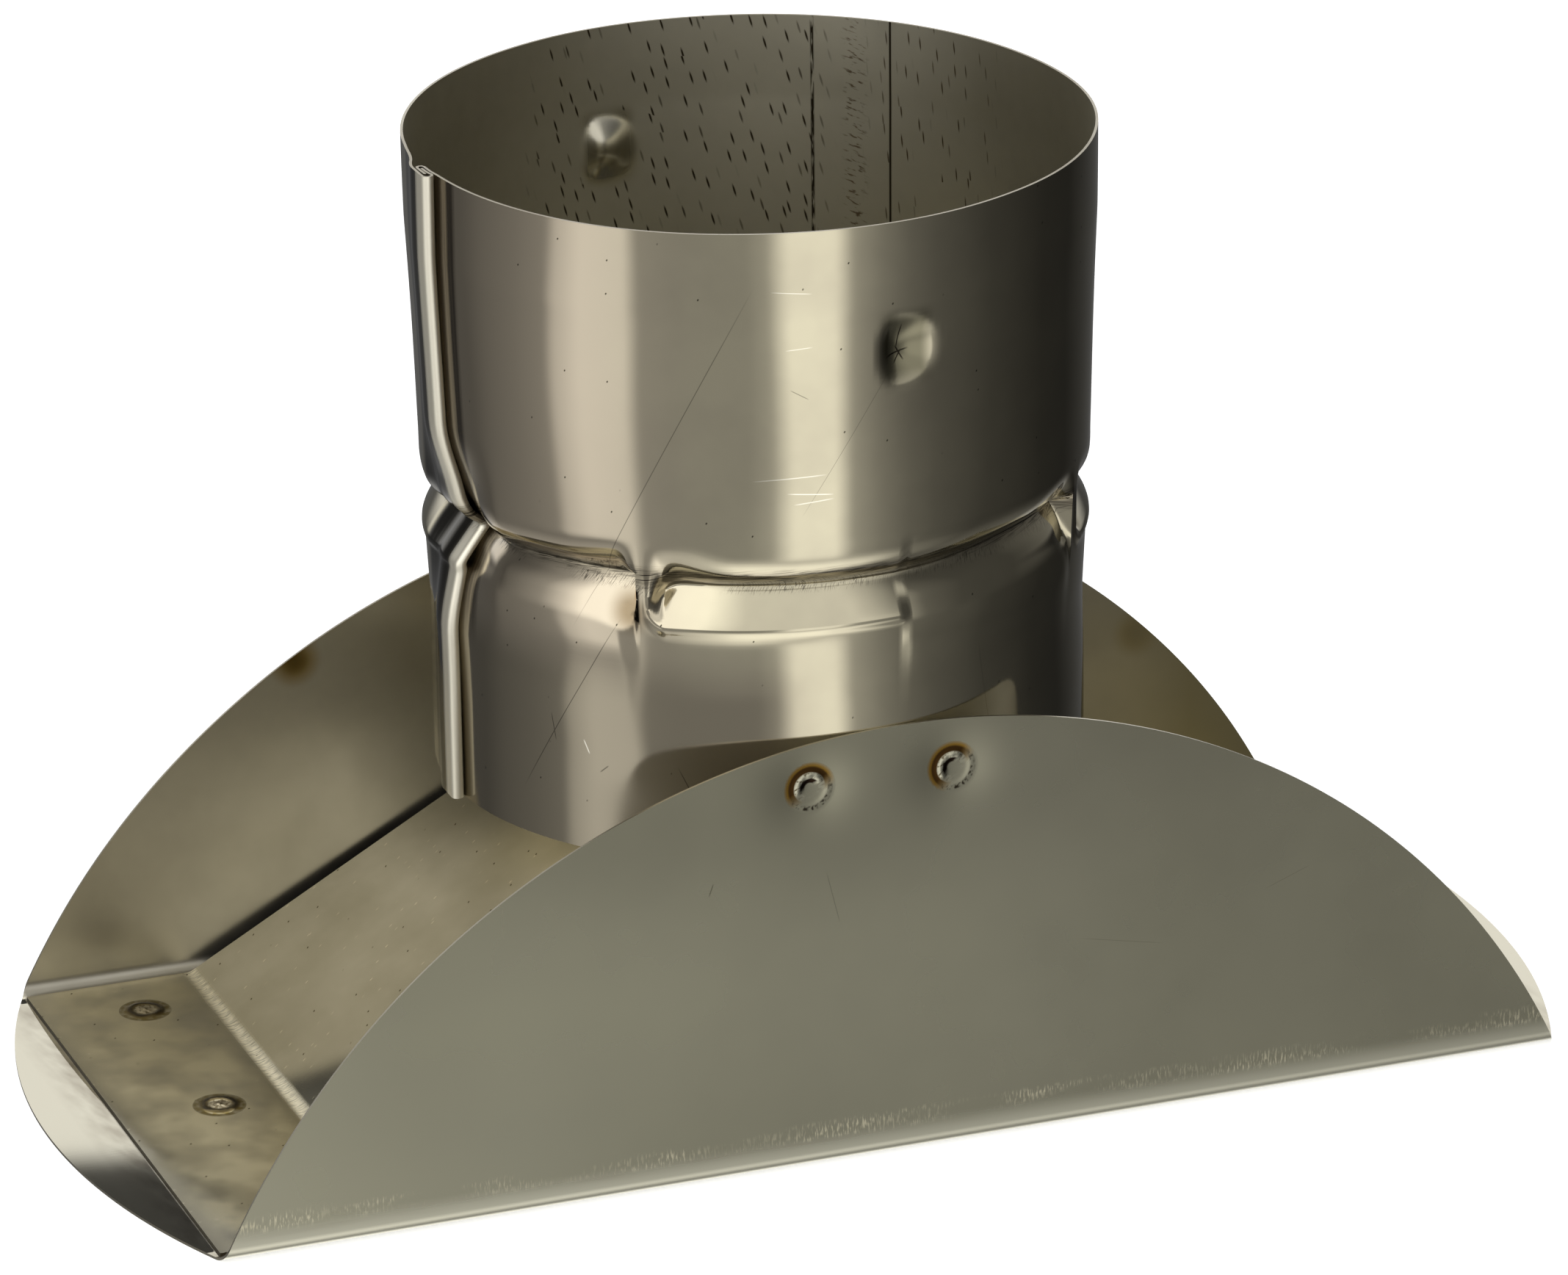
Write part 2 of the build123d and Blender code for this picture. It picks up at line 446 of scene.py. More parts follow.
@dataclass(frozen=True)
class RolledStainless:
    """Thin austenitic stainless sheet as it leaves the rolls: smooth, grey with a warm cast.

    The rolls leave a faint grain along the sheet and a slight cloudiness.
    """

    name: str
    tone: str
    cloud_tone: str
    roughness: float
    cloud_roughness: float
    cloud_size: float = 35.0
    grain_size: float = 0.35
    grain_stretch: float = 40.0
    grain_depth: float = 0.0006

    def build(self) -> Material:
        """Make the material.

        Returns:
            The material, with its principled shader named steel.
        """
        material = bpy.data.materials.new(self.name)
        material.use_nodes = True
        tree = material.node_tree
        steel = tree.nodes["Principled BSDF"]
        steel.name = "steel"
        steel.inputs["Metallic"].default_value = 1.0
        place = add_node(tree, "ShaderNodeTexCoord")
        place.name = "place"
        clouds = add_node(
            tree,
            "ShaderNodeTexNoise",
            {"Scale": 1 / (self.cloud_size * MM), "Detail": 4.0, "Roughness": 0.6},
            {"Vector": place.outputs["Object"]},
        )
        spread_out = add_node(
            tree,
            "ShaderNodeMapRange",
            {"From Min": 0.35, "From Max": 0.65},
            {"Value": clouds.outputs["Fac"]},
        )
        colour = add_node(
            tree,
            "ShaderNodeMix",
            {
                "data_type": "RGBA",
                FIRST_COLOUR: linear(self.tone),
                SECOND_COLOUR: linear(self.cloud_tone),
            },
            {0: spread_out},
        )
        rough = add_node(
            tree,
            "ShaderNodeMapRange",
            {"To Min": self.roughness, "To Max": self.cloud_roughness},
            {"Value": spread_out},
        )
        stretch = (1 / self.grain_stretch, 1, 1)
        laid = add_node(tree, "ShaderNodeMapping", {"Scale": stretch}, {"Vector": place.outputs["UV"]})
        grain = add_node(
            tree,
            "ShaderNodeTexNoise",
            {"Scale": 1 / (self.grain_size * MM), "Detail": 3.0, "Roughness": 0.7},
            {"Vector": laid},
        )
        bump = add_node(
            tree,
            "ShaderNodeBump",
            {"Strength": 1.0, "Distance": self.grain_depth * MM},
            {"Height": grain.outputs["Fac"]},
        )
        tree.links.new(colour.outputs[MIXED_COLOUR], steel.inputs["Base Color"])
        tree.links.new(rough.outputs[0], steel.inputs["Roughness"])
        tree.links.new(bump.outputs[0], steel.inputs["Normal"])
        return material


def darken(material: Material, mask: Source, code: str) -> None:
    """Mix a colour over a material's base colour.

    Args:
        material: a material with a principled shader named steel.
        mask: how much of the colour shows.
        code: the colour.
    """
    tree = material.node_tree
    base = tree.nodes["steel"].inputs["Base Color"]
    under = base.links[0].from_socket
    over = add_node(
        tree,
        "ShaderNodeMix",
        {"data_type": "RGBA", SECOND_COLOUR: linear(code)},
        {0: mask, FIRST_COLOUR: under},
    )
    tree.links.new(over.outputs[MIXED_COLOUR], base)


def roughen(material: Material, mask: Source, roughness: float) -> None:
    """Mix a roughness over a material's own.

    Args:
        material: a material with a principled shader named steel.
        mask: how much of the new roughness shows.
        roughness: the new roughness.
    """
    tree = material.node_tree
    socket = tree.nodes["steel"].inputs["Roughness"]
    under = socket.links[0].from_socket
    settings = {"data_type": "FLOAT", SECOND_NUMBER: roughness}
    over = add_node(tree, "ShaderNodeMix", settings, {0: mask, FIRST_NUMBER: under})
    tree.links.new(over.outputs[0], socket)


@dataclass
class Collar:
    """The pipe collar: one rolled sheet with a lock seam, a groove, a bead, dimples and notches."""

    sheet: float = 0.4
    mouth_radius: float = 51.0
    mouth_length: float = 13.0
    tube_radius: float = 49.0
    bottom: float = 47.83
    foot: float = 73.03
    crown: float = 84.3
    groove: float = 90.53
    shoulder: float = 98.03
    top: float = 145.52
    crown_radius: float = 50.3
    under_radius: float = 49.75
    crown_length: float = 1.9
    groove_radius: float = 46.0
    shoulder_radius: float = 49.95
    cone_power: float = 1.12
    offset: float = -4.3
    lean: float = 1.0
    lean_height: float = 60.03
    seam_angle: float = -175.5
    seam_reach: float = 14.0
    layer: float = 0.55
    roll_radius: float = 0.75
    roll_offset: float = 0.45
    lap: float = 3.2
    dip: float = 0.1
    sink_depth: float = 3.0
    sink_reach: float = 17.0
    dimple_drop: float = 19.0
    dimple_reach: float = 5.6
    dimple_depth: float = 1.7
    notch_half: float = 0.9
    notch_angles: tuple[float, ...] = (45.0, 135.0, 225.0, 315.0)
    dimple_angles: tuple[float, ...] = (90.0, 270.0)
    arc_points: int = 13
    wall_points: int = 900
    columns: int = 400
    rows: int = 118

    def radius(self, height: np.ndarray, ease: float = 0.45, power: float = 2.0) -> np.ndarray:
        """Outside radius of the rolled profile.

        Args:
            height: heights.
            ease: how far its corners are rounded, in millimetres.
            power: how late the wall turns in to the groove.

        Returns:
            The radius at each height.
        """
        step, half_kernel = 0.05, 120
        fine = np.arange(self.bottom - 2, self.top + 2, step)
        under = self.crown - self.crown_length
        knots = [
            self.crown_radius
            - (self.crown_radius - self.groove_radius)
            * np.clip((fine - self.crown) / (self.groove - self.crown), 0, 1) ** self.cone_power,
            self.shoulder_radius
            - (self.shoulder_radius - self.groove_radius)
            * (1 - np.clip((fine - self.groove) / (self.shoulder - self.groove), 0, 1)) ** power,
            self.shoulder_radius
            + (self.mouth_radius - self.shoulder_radius)
            * np.clip((fine - self.shoulder) / (self.top - self.mouth_length - self.shoulder), 0, 1),
            self.tube_radius
            + (self.under_radius - self.tube_radius) * soft_step(fine, self.foot, under + 1)
            + (self.crown_radius - self.under_radius) * soft_step(fine, under, self.crown),
        ]
        wall = np.select(
            [fine >= self.shoulder, fine >= self.groove, fine >= self.crown],
            [knots[2], knots[1], knots[0]],
            knots[3],
        )
        kernel = hump(np.arange(-half_kernel, half_kernel + 1) * step, ease)
        wall = np.convolve(np.pad(wall, half_kernel, mode="edge"), kernel / kernel.sum(), mode="valid")
        return np.interp(height, fine, wall)

    def plain_radius(self, height: np.ndarray) -> np.ndarray:
        """Outside radius where the roller never pressed: straight through groove and bead.

        Args:
            height: heights.

        Returns:
            The radius at each height.
        """
        ends = [self.foot, self.shoulder], [self.tube_radius, self.shoulder_radius]
        pressed = (height > self.foot) & (height < self.shoulder)
        return np.where(pressed, np.interp(height, *ends), self.radius(height))

    def arc(
        self, middle: tuple[float, float], radius: float, start: float, end: float
    ) -> list[tuple[float, float]]:
        """Points of an arc of the seam's path.

        Args:
            middle: centre of the arc.
            radius: its radius.
            start: first angle in degrees.
            end: last angle.

        Returns:
            The points in order.
        """
        turns = [radians(angle) for angle in np.linspace(start, end, self.arc_points)]
        return [(middle[0] + radius * cos(turn), middle[1] + radius * sin(turn)) for turn in turns]

    def smooth_path(self, path: list[tuple[float, float]]) -> np.ndarray:
        """Round the corners of a path by cutting each twice.

        Args:
            path: the path's points.

        Returns:
            The points of the rounded path.
        """
        points = np.array(path)
        share = 0.25
        for _ in range(2):
            first = points[:-1] * (1 - share) + points[1:] * share
            second = points[:-1] * share + points[1:] * (1 - share)
            cut = np.empty((2 * len(first), 2))
            cut[0::2], cut[1::2] = first, second
            points = np.vstack([points[:1], cut, points[-1:]])
        return points

    def sheet_path(self) -> np.ndarray:
        """Path of the sheet round the collar, from the end in the hook to the end in the roll.

        Returns:
            Length along the path, place round the wall and rise off it, one row per point.
        """
        level = [self.layer * (step + 0.1) for step in range(4)]
        hook = [
            (-self.lap * 0.05, level[2]),
            *self.arc((-self.lap, level[1]), self.layer, 90, 270),
            (-self.lap * 0.25, level[0]),
            (self.lap * 0.3, -self.dip),
            (self.lap * 0.8, -self.dip),
            (self.lap * 1.6, -self.dip * 0.7),
            (self.seam_reach * 0.8, 0),
            (self.seam_reach, 0),
        ]
        roll = [
            (-self.seam_reach, 0),
            (-self.lap * 2.5, level[0] + 0.4 * self.layer),
            (-self.lap * 1.45, level[3] - 0.1 * self.layer),
            (-self.lap * 0.6, level[3]),
            *self.arc((self.roll_offset, level[2]), self.roll_radius, 90, -90),
            (self.roll_offset - 1.4 * self.roll_radius, level[1]),
            (-self.lap * 0.85, level[1]),
        ]
        round_length = 2 * pi * self.mouth_radius
        wall = np.linspace(self.seam_reach, round_length - self.seam_reach, self.wall_points)
        hook_points = self.smooth_path(hook)
        roll_points = self.smooth_path(roll) + (round_length, 0)
        path = np.vstack(
            [hook_points[:-1], np.column_stack([wall, np.zeros_like(wall)]), roll_points[1:]]
        )
        steps = np.hypot(*np.diff(path, axis=0).T)
        return np.column_stack([np.concatenate(([0.0], np.cumsum(steps))), path])

    def surface(self) -> tuple[np.ndarray, np.ndarray]:
        """Places of the grid points of the sheet's middle.

        Returns:
            The points in millimetres and their places on the flat sheet.
        """
        path = self.sheet_path()
        round_length = 2 * pi * self.mouth_radius
        notches = [self.mouth_radius * radians(angle) for angle in self.notch_angles]
        dimples = [self.mouth_radius * radians(angle) for angle in self.dimple_angles]
        end = path[-1, 0]
        hook_length = path[:, 0][np.argmin(np.abs(path[:, 1] - self.seam_reach))]
        lead = hook_length - self.seam_reach
        spots = [
            (8.0, 13.0, 2.6),
            (end - 8.0, 13.0, 2.6),
            *[(lead + notch, 4.5, 3.6) for notch in notches],
            *[(lead + dimple, 6.0, 0.8) for dimple in dimples],
        ]
        length = spread(0.0, end, self.columns, spots)
        around = np.interp(length, path[:, 0], path[:, 1])
        rise = np.interp(length, path[:, 0], path[:, 2])
        middle = (self.crown + self.shoulder) / 2 - 1
        height = spread(
            self.bottom,
            self.top,
            self.rows,
            [(middle, 8.5, 4.0), (self.top - self.dimple_drop, 6.0, 1.5), (self.top, 0.6, 1.0)],
        )
        around, height = np.meshgrid(around, height)
        rise = np.broadcast_to(rise, around.shape)
        off_seam = np.where(around > round_length / 2, around - round_length, around)
        radius = self.formed_radius(around, height, notches) - self.sheet / 2 + rise
        sink = self.sink_depth * np.clip(1 - ((height - self.groove) / self.sink_reach) ** 2, 0, 1) ** 2
        radius = radius - sink * np.clip(1 - (off_seam / self.seam_reach) ** 2, 0, 1) ** 2
        for dimple, hand in zip(dimples, (1, -1)):
            across = (around - dimple) * hand
            up = height - (self.top - self.dimple_drop)
            radius = radius - self.dimple_depth * self.punch_mark(across, up)
        turn = radians(self.seam_angle) + around / self.mouth_radius
        points = np.stack([radius * np.cos(turn), radius * np.sin(turn), height], axis=-1)
        tilt = Matrix.Rotation(-radians(self.lean), 3, "Y")
        lift = np.array((0, 0, self.lean_height))
        points = (points - lift) @ np.array(tilt).T + lift + np.array((self.offset, 0, 0))
        return points, np.stack([around, height], axis=-1)

    def punch_mark(self, across: np.ndarray, up: np.ndarray) -> np.ndarray:
        """Depth of a dimple as a share of its deepest: steep at one side, gentle at the other.

        Args:
            across: distance from the middle, positive to the gentle side.
            up: height over the middle.

        Returns:
            The share at each point.
        """
        steep, gentle, tall, squareness = 0.52, 1.2, 0.98, 2.3
        deepest = -0.24 * self.dimple_reach
        reach = np.where(across < deepest, steep, gentle) * self.dimple_reach
        side = np.abs(across - deepest) / reach
        rise = np.abs(up + 0.4) / (tall * self.dimple_reach)
        off = (side**squareness + rise**squareness) ** (1 / squareness)
        return np.clip(1 - off**2.0, 0, 1) ** 1.5

    def formed_radius(self, around: np.ndarray, height: np.ndarray, notches: list[float]) -> np.ndarray:
        """Outside radius with groove and bead rolled in between the notches.

        Args:
            around: place round the wall.
            height: height.
            notches: places of the notches round the wall.

        Returns:
            The radius at each point.
        """
        past = np.full(around.shape, 1e3)
        for notch in notches:
            past = np.where(np.abs(around - notch) < np.abs(past), around - notch, past)
        shift = np.where(past < 0, 1.1 * (1 - soft_step(-past, 12, 39)), -2.9 * hump(past, 3.0))
        lowered = height - shift * hump(height - self.groove, 5.0)
        soft = np.where(past < 0, soft_step(-past, 0.3, 3.0), 0.4)
        soft = soft * (1 - soft_step(height, self.groove - 4.0, self.groove - 0.5))
        eased = np.where(past < 0, self.radius(lowered, 4.0), self.radius(lowered, 2.4))
        late = soft_step(np.abs(past), 3.0, 14.0) * np.where(past < 0, 0.6, 1.0)
        sharp = self.radius(lowered) * (1 - late) + self.radius(lowered, power=4.0) * late
        rolled = sharp * (1 - soft) + eased * soft
        plain = self.plain_radius(height)
        # Right of the notch the rolled part ends in a round, with a raised lip along its outline
        low, high, end_radius = self.crown - 0.7, self.groove + 3.0, 4.2
        out_x = np.maximum(self.notch_half + end_radius - past, 0)
        out_z = np.maximum(low + end_radius - height, 0)
        inset = end_radius - np.hypot(out_x, out_z)
        right = soft_step(inset, -0.2, 1.9)
        low_lip = 0.2 * (1 - soft_step(past, 12, 39))
        lip = 0.28 * soft_step(out_x, 0.5, 3.0) + low_lip * soft_step(out_z, 1.0, 3.0)
        lip = np.minimum(lip, 0.34) * (past > 0)
        lip = lip * hump(inset - 0.3, 1.0) * (1 - soft_step(height, self.groove - 4, high))
        # Left of it the sheet has torn off at the cone, and is bent in before the tear
        torn = soft_step(-past, 0.75, 1.25)
        bent = soft_step(-past, 0.5, 4.5)
        cone = soft_step(height, self.crown + 0.5, self.crown + 1.8)
        cone = cone * (1 - soft_step(height, self.groove + 1.0, self.groove + 2.6))
        left = bent * (1 - cone) + torn * cone
        dent = 0.8 * hump(past + 0.6, 4.4) * hump(height - self.crown - 2.6, 3.0) * torn
        pressed = np.where(past > 0, right, left)
        radius = plain + (rolled - plain) * pressed + lip - np.where(past < 0, dent, 0)
        # The thin wall is a little wavy, but keeps its width where the wings and dimples are
        wave = 0.22 * np.sin(around / 13.0 + height / 21.0 + 0.4) * np.sin(height / 15.0 + 0.7)
        wave += 0.05 * np.sin(around / 6.3 - height / 13.0 + 1.9)
        turn = radians(self.seam_angle) + around / self.mouth_radius
        free = soft_step(np.abs(np.cos(turn)), 0.15, 0.6) * soft_step(height, self.foot - 12, self.foot)
        return radius + wave * free

    def build(self) -> Piece:
        """Model and dress the collar.

        Returns:
            The collar.
        """
        points, spots = self.surface()
        piece = formed_sheet("collar_sheet", points, spots)
        give_thickness(piece, self.sheet, [self.outside(), self.inside(), cut_edge()])
        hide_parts("pipe_collar")
        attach(piece, "root")
        return piece

    def outside(self) -> Material:
        """Finish of the collar's outside.

        Returns:
            The material.
        """
        material = RolledStainless(
            "rolled_stainless_tube", "#B7B098", "#A8A18C", 0.075, 0.115, cloud_size=28.0
        ).build()
        tree = material.node_tree
        place = tree.nodes["place"].outputs["UV"]
        around, height, _ = split(tree, place)
        round_length = 2 * pi * self.mouth_radius
        # Handled more, and so a little redder, near the seam
        darken(material, near(tree, around, 14.0, 14.0, 40.0), "#BAAF9B")
        # The sheet is stretched dull where the seam's roll is bent
        roll = near(tree, around, round_length - 0.35, 1.5, 1.9)
        darken(material, roll, "#E4DFCE")
        roughen(material, roll, 0.5)
        # Painted shade: the valley beside the seam is painted darker, streaked along its length
        valley_shade = near(tree, around, 3.6, 1.7, 3.4)
        streaks = grit(tree, place, (0.5, 30.0), 0.0, (0.30, 0.62))
        darken(material, valley_shade, "#6E6350")
        darken(material, product(tree, valley_shade, streaks), "#4A4032")
        # Painted shade: the flank on the roll's side of the seam is painted dark
        flank_shade = near(tree, around, round_length - 7.0, 4.2, 6.0)
        darken(material, flank_shade, "#45433D")
        # The lower wall is painted a little greyer, a painted shade
        low_wall_shade = product(
            tree, near(tree, height, 60.0, 13.0, 22.0), near(tree, around, 30.0, 26.0, 38.0)
        )
        darken(material, low_wall_shade, "#978F7D")
        contact = product(
            tree, near(tree, height, 47.0, 9.0, 16.0), near(tree, around, 72.0, 34.0, 46.0)
        )
        roughen(material, contact, 0.24)
        # Dimples are stretched dull, and painted darker as painted shade, with a cross of scratches from
        # the punch
        dimple_height = self.top - self.dimple_drop
        for angle in self.dimple_angles:
            middle = self.mouth_radius * radians(angle)
            spot = product(
                tree, near(tree, around, middle, 2.5, 5.0), near(tree, height, dimple_height, 3.5, 6.5)
            )
            roughen(material, spot, 0.2)
            # Painted shade: the dimple is painted darker
            darken(material, spot, "#6F6B58")
            cross = [
                Scratch((middle - 1.0, dimple_height - 1.2), 4.2, 14.0, 0.28, 0.9),
                Scratch((middle - 0.5, dimple_height - 1.3), 2.8, 118.0, 0.28, 0.9),
                Scratch((middle - 0.8, dimple_height - 1.8), 2.6, 55.0, 0.24, 0.9),
                Scratch((middle - 0.7, dimple_height + 1.4), 4.4, 84.0, 0.24, 0.9),
            ]
            darken(material, scratch_mask(tree, place, cross), "#1F1B14")
        # The bottom of the groove is painted darker, a painted shade in the crease, with strokes over it
        # that the rolling tool left
        cut = near(tree, height, self.groove + 1.6, 0.6, 2.4)
        strokes = grit(tree, place, (3.5, 0.16), 4.0, (0.48, 0.62))
        darken(material, cut, "#8D8573")
        darken(material, product(tree, cut, strokes), "#3A362E")
        foot = near(tree, height, self.groove - 0.3, 0.3, 1.3)
        hairs = grit(tree, place, (1.4, 0.13), 62.0, (0.53, 0.62))
        fields = grit(tree, place, (14.0, 6.0), 0.0, (0.42, 0.55))
        darken(material, product(tree, foot, hairs, fields), "#5F594D")
        # The sheet has torn open at one notch, with rust along the tear
        notch = self.mouth_radius * radians(self.notch_angles[0])
        side = near(tree, around, notch - 0.95, 0.35, 0.66)
        ragged = grit(tree, place, (0.5, 0.5), 0.0, (0.28, 0.40))
        tall = near(tree, height, self.groove - 3.0, 2.2, 3.0)
        rust_side = near(tree, around, notch - 1.5, 0.15, 0.5)
        rust = product(tree, rust_side, near(tree, height, self.groove - 1.7, 0.8, 1.6))
        darken(material, rust, "#7A4E1E")
        away = add_node(
            tree,
            "ShaderNodeVectorMath",
            {"operation": "DISTANCE", 1: ((notch - 2.2) * MM, (self.groove - 4.2) * MM, 0)},
            {0: place},
        ).outputs["Value"]
        # Painted shade: a soft darker patch in the dent left of the tear
        darken(material, near(tree, away, 0.0, 0.8, 4.4), "#86775F")
        # Painted shade: the open slit of the tear is painted black
        tear = product(tree, side, tall, ragged)
        darken(material, tear, "#050403")
        roughen(material, tear, 0.9)
        lines = [
            Scratch((43.0, 110.0), 62.0, 62.0, 0.16, 0.5),
            Scratch((27.0, 70.0), 36.0, 58.0, 0.17, 0.6),
            Scratch((47.5, 58.0), 11.0, 118.0, 0.2, 0.6),
            Scratch((24.0, 66.0), 4.5, 100.0, 0.2, 0.6),
            Scratch((33.0, 61.0), 2.0, 40.0, 0.22, 0.6),
            Scratch((64.0, 121.0), 3.2, 150.0, 0.16, 0.5),
            Scratch((71.0, 113.0), 26.0, 58.0, 0.12, 0.35),
            Scratch((95.0, 70.0), 16.0, 100.0, 0.12, 0.35),
        ]
        darken(material, scratch_mask(tree, place, lines), "#2A271F")
        pale_lines = [
            Scratch((62.5, 108.2), 11.0, 3.0, 0.2, 0.5),
            Scratch((65.5, 105.6), 7.0, -4.0, 0.2, 0.6),
            Scratch((66.0, 104.4), 6.0, 6.0, 0.2, 0.5),
            Scratch((63.0, 136.5), 6.0, -5.0, 0.16, 0.45),
            Scratch((64.0, 128.0), 4.0, 5.0, 0.16, 0.45),
            Scratch((30.0, 64.0), 2.4, 115.0, 0.25, 0.6),
        ]
        darken(material, scratch_mask(tree, place, pale_lines), "#F2EEDF")
        # Dust and pits, a few tenths of a millimetre across
        specks = dashes(tree, place, 7.0, (0.45, 0.3), 60.0, 0.35)
        darken(material, specks, "#4A4538")
        return material

    def inside(self) -> Material:
        """Finish of the collar's inside: the dull side of the sheet, marked by the rolls.

        Returns:
            The material.
        """
        material = RolledStainless(
            "rolled_stainless_inside", "#C6C2B2", "#B3AE9D", 0.33, 0.42, cloud_size=30.0
        ).build()
        tree = material.node_tree
        place = tree.nodes["place"].outputs["UV"]
        around, height, _ = split(tree, place)
        back_dimple = self.mouth_radius * radians(self.dimple_angles[1])
        left_field = near(tree, around, 230.0, 21.0, 27.0)
        right_field = near(tree, around, 187.0, 7.0, 14.0)
        marks = dashes(tree, place, 3.1, (2.6, 0.42), 74.0, 0.9)
        pressed = near(tree, height, self.top - self.dimple_drop, 5.0, 5.6)
        pressed = product(tree, pressed, near(tree, around, back_dimple, 4.4, 5.2))
        clear = add_node(tree, "ShaderNodeMath", {"operation": "SUBTRACT", 0: 1.0}, {1: pressed})
        darken(material, product(tree, left_field, marks, clear), "#3A3226")
        fine = dashes(tree, place, 3.0, (2.6, 0.32), 84.0, 0.8)
        darken(material, product(tree, right_field, fine), "#5A4E3E")
        solid = near(tree, around, 195.2, 0.10, 0.26)
        darken(material, solid, "#2F271D")
        broken = near(tree, around, 207.8, 0.12, 0.40)
        gaps = grit(tree, place, (0.5, 3.2), 0.0, (0.36, 0.50))
        darken(material, product(tree, broken, gaps), "#2B241A")
        smear = product(
            tree, near(tree, around, 201.0, 0.6, 2.6), grit(tree, place, (1.8, 0.5), 20.0, (0.56, 0.66))
        )
        darken(material, smear, "#6E6150")
        dimple = product(
            tree,
            near(tree, around, back_dimple, 2.5, 5.5),
            near(tree, height, self.top - self.dimple_drop, 3.5, 7.0),
        )
        roughen(material, dimple, 0.22)
        return material


def cut_edge() -> Material:
    """Sheared edge of the sheet: freshly cut stainless, brighter than the faces.

    Returns:
        The material, made at the first call.
    """
    found = bpy.data.materials.get("sheared_stainless_edge")
    if found:
        return found
    return RolledStainless("sheared_stainless_edge", "#B9B3A2", "#A39C8A", 0.25, 0.35).build()


@dataclass
class CapPlate:
    """The cap plate: one disc folded up along two lines into two wings."""

    sheet: float = 0.4
    disc_radius: float = 117.37
    strip_half_width: float = 50.8
    fold_radius: float = 2.0
    wing_lean: float = 1.18
    weld_places: tuple[float, float] = (-15.5, 6.9)
    weld_height: float = 60.03
    weld_dent: float = 0.5
    columns: int = 190
    wing_rows: int = 70
    fold_rows: int = 12
    strip_rows: int = 24

    def surface(self) -> tuple[np.ndarray, np.ndarray]:
        """Places of the grid points of the sheet's middle.

        Returns:
            The points in millimetres and their places on the flat disc.
        """
        flat_half = self.strip_half_width - self.fold_radius - self.sheet
        bend = self.fold_radius + self.sheet / 2
        turn = radians(90 + self.wing_lean)
        wing_start = flat_half + bend * turn
        strip = np.linspace(0, flat_half, self.strip_rows)
        fold = np.linspace(flat_half, wing_start, self.fold_rows)[1:]
        tip = radians(88.6)
        rise = np.linspace(np.arcsin(wing_start / self.disc_radius), tip, self.wing_rows)[1:]
        wing = self.disc_radius * np.sin(rise)
        half = np.concatenate([strip, fold, wing])
        across = np.concatenate([-half[:0:-1], half])
        share = np.linspace(-1, 1, self.columns)
        flat_x = np.sqrt(self.disc_radius**2 - across**2)[:, None] * share[None, :]
        flat_y = np.broadcast_to(across[:, None], flat_x.shape)
        out = np.abs(flat_y)
        angle = np.clip((out - flat_half) / bend, 0, turn)
        past = np.clip(out - wing_start, 0, None)
        y = np.minimum(out, flat_half) + bend * np.sin(angle) + past * cos(turn)
        z = self.sheet / 2 + bend * (1 - np.cos(angle)) + past * sin(turn)
        wave = 0.25 * np.sin(flat_x / 23.0 + 0.6) * np.sin(past / 21.0)
        y = y + wave * soft_step(past, 0, 15) * (1 - soft_step(past, 34, 50))
        # The heat of each weld has drawn the wing in
        for weld in self.weld_places:
            y = y - self.weld_dent * hump(np.hypot(flat_x - weld, z - self.weld_height), 5.5)
        y = y * np.sign(flat_y)
        return np.stack([flat_x, y, z], axis=-1), np.stack([flat_x, flat_y], axis=-1)

    def build(self) -> Piece:
        """Model and dress the cap plate.

        Returns:
            The cap plate.
        """
        points, spots = self.surface()
        piece = formed_sheet("cap_sheet", points, spots)
        give_thickness(piece, self.sheet, [self.inside(), self.outside(), cut_edge()])
        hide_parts("cap_plate")
        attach(piece, "root")
        return piece

    def outside(self) -> Material:
        """Finish of the wings' outer faces: satin, with the grain along the folds.

        Returns:
            The material.
        """
        material = satin_wing("satin_stainless_wing")
        tree = material.node_tree
        place = tree.nodes["place"].outputs["UV"]
        _, _, height = split(tree, tree.nodes["place"].outputs["Object"])
        # The fold is rubbed by the press: pale upright hairs over it, a grey line along it
        band = near(tree, height, 5.6, 0.7, 1.9)
        hairs = grit(tree, place, (0.3, 1.6), 0.0, (0.50, 0.64))
        patches = grit(tree, place, (22.0, 5.0), 0.0, (0.44, 0.60))
        darken(material, product(tree, band, hairs, patches), "#D8D1B4")
        line = near(tree, height, 3.6, 0.4, 1.1)
        smudge = grit(tree, place, (14.0, 0.7), 0.0, (0.44, 0.66))
        darken(material, product(tree, line, smudge), "#98937E")
        # Painted highlight: the bottom fold is painted lighter and made a little rougher
        fold = near(tree, height, 0.0, 2.2, 5.5)
        darken(material, fold, "#C2BFAB")
        roughen(material, fold, 0.3)
        lines = [
            Scratch((-12.0, -92.0), 9.0, 76.0, 0.15, 0.35),
            Scratch((-31.0, -96.0), 2.2, 110.0, 0.2, 0.6),
            Scratch((34.0, -78.0), 14.0, 12.0, 0.12, 0.25),
            Scratch((61.0, -84.0), 8.0, 160.0, 0.12, 0.25),
        ]
        darken(material, scratch_mask(tree, place, lines), "#4A4636")
        return material

    def inside(self) -> Material:
        """Finish of the strip and of the wings' inner faces.

        Returns:
            The material.
        """
        material = RolledStainless(
            "rolled_stainless_plate", "#B2ADA0", "#A29D8F", 0.28, 0.38, cloud_size=32.0, grain_depth=0.00005
        ).build()
        tree = material.node_tree
        across, depth, height = split(tree, tree.nodes["place"].outputs["Object"])
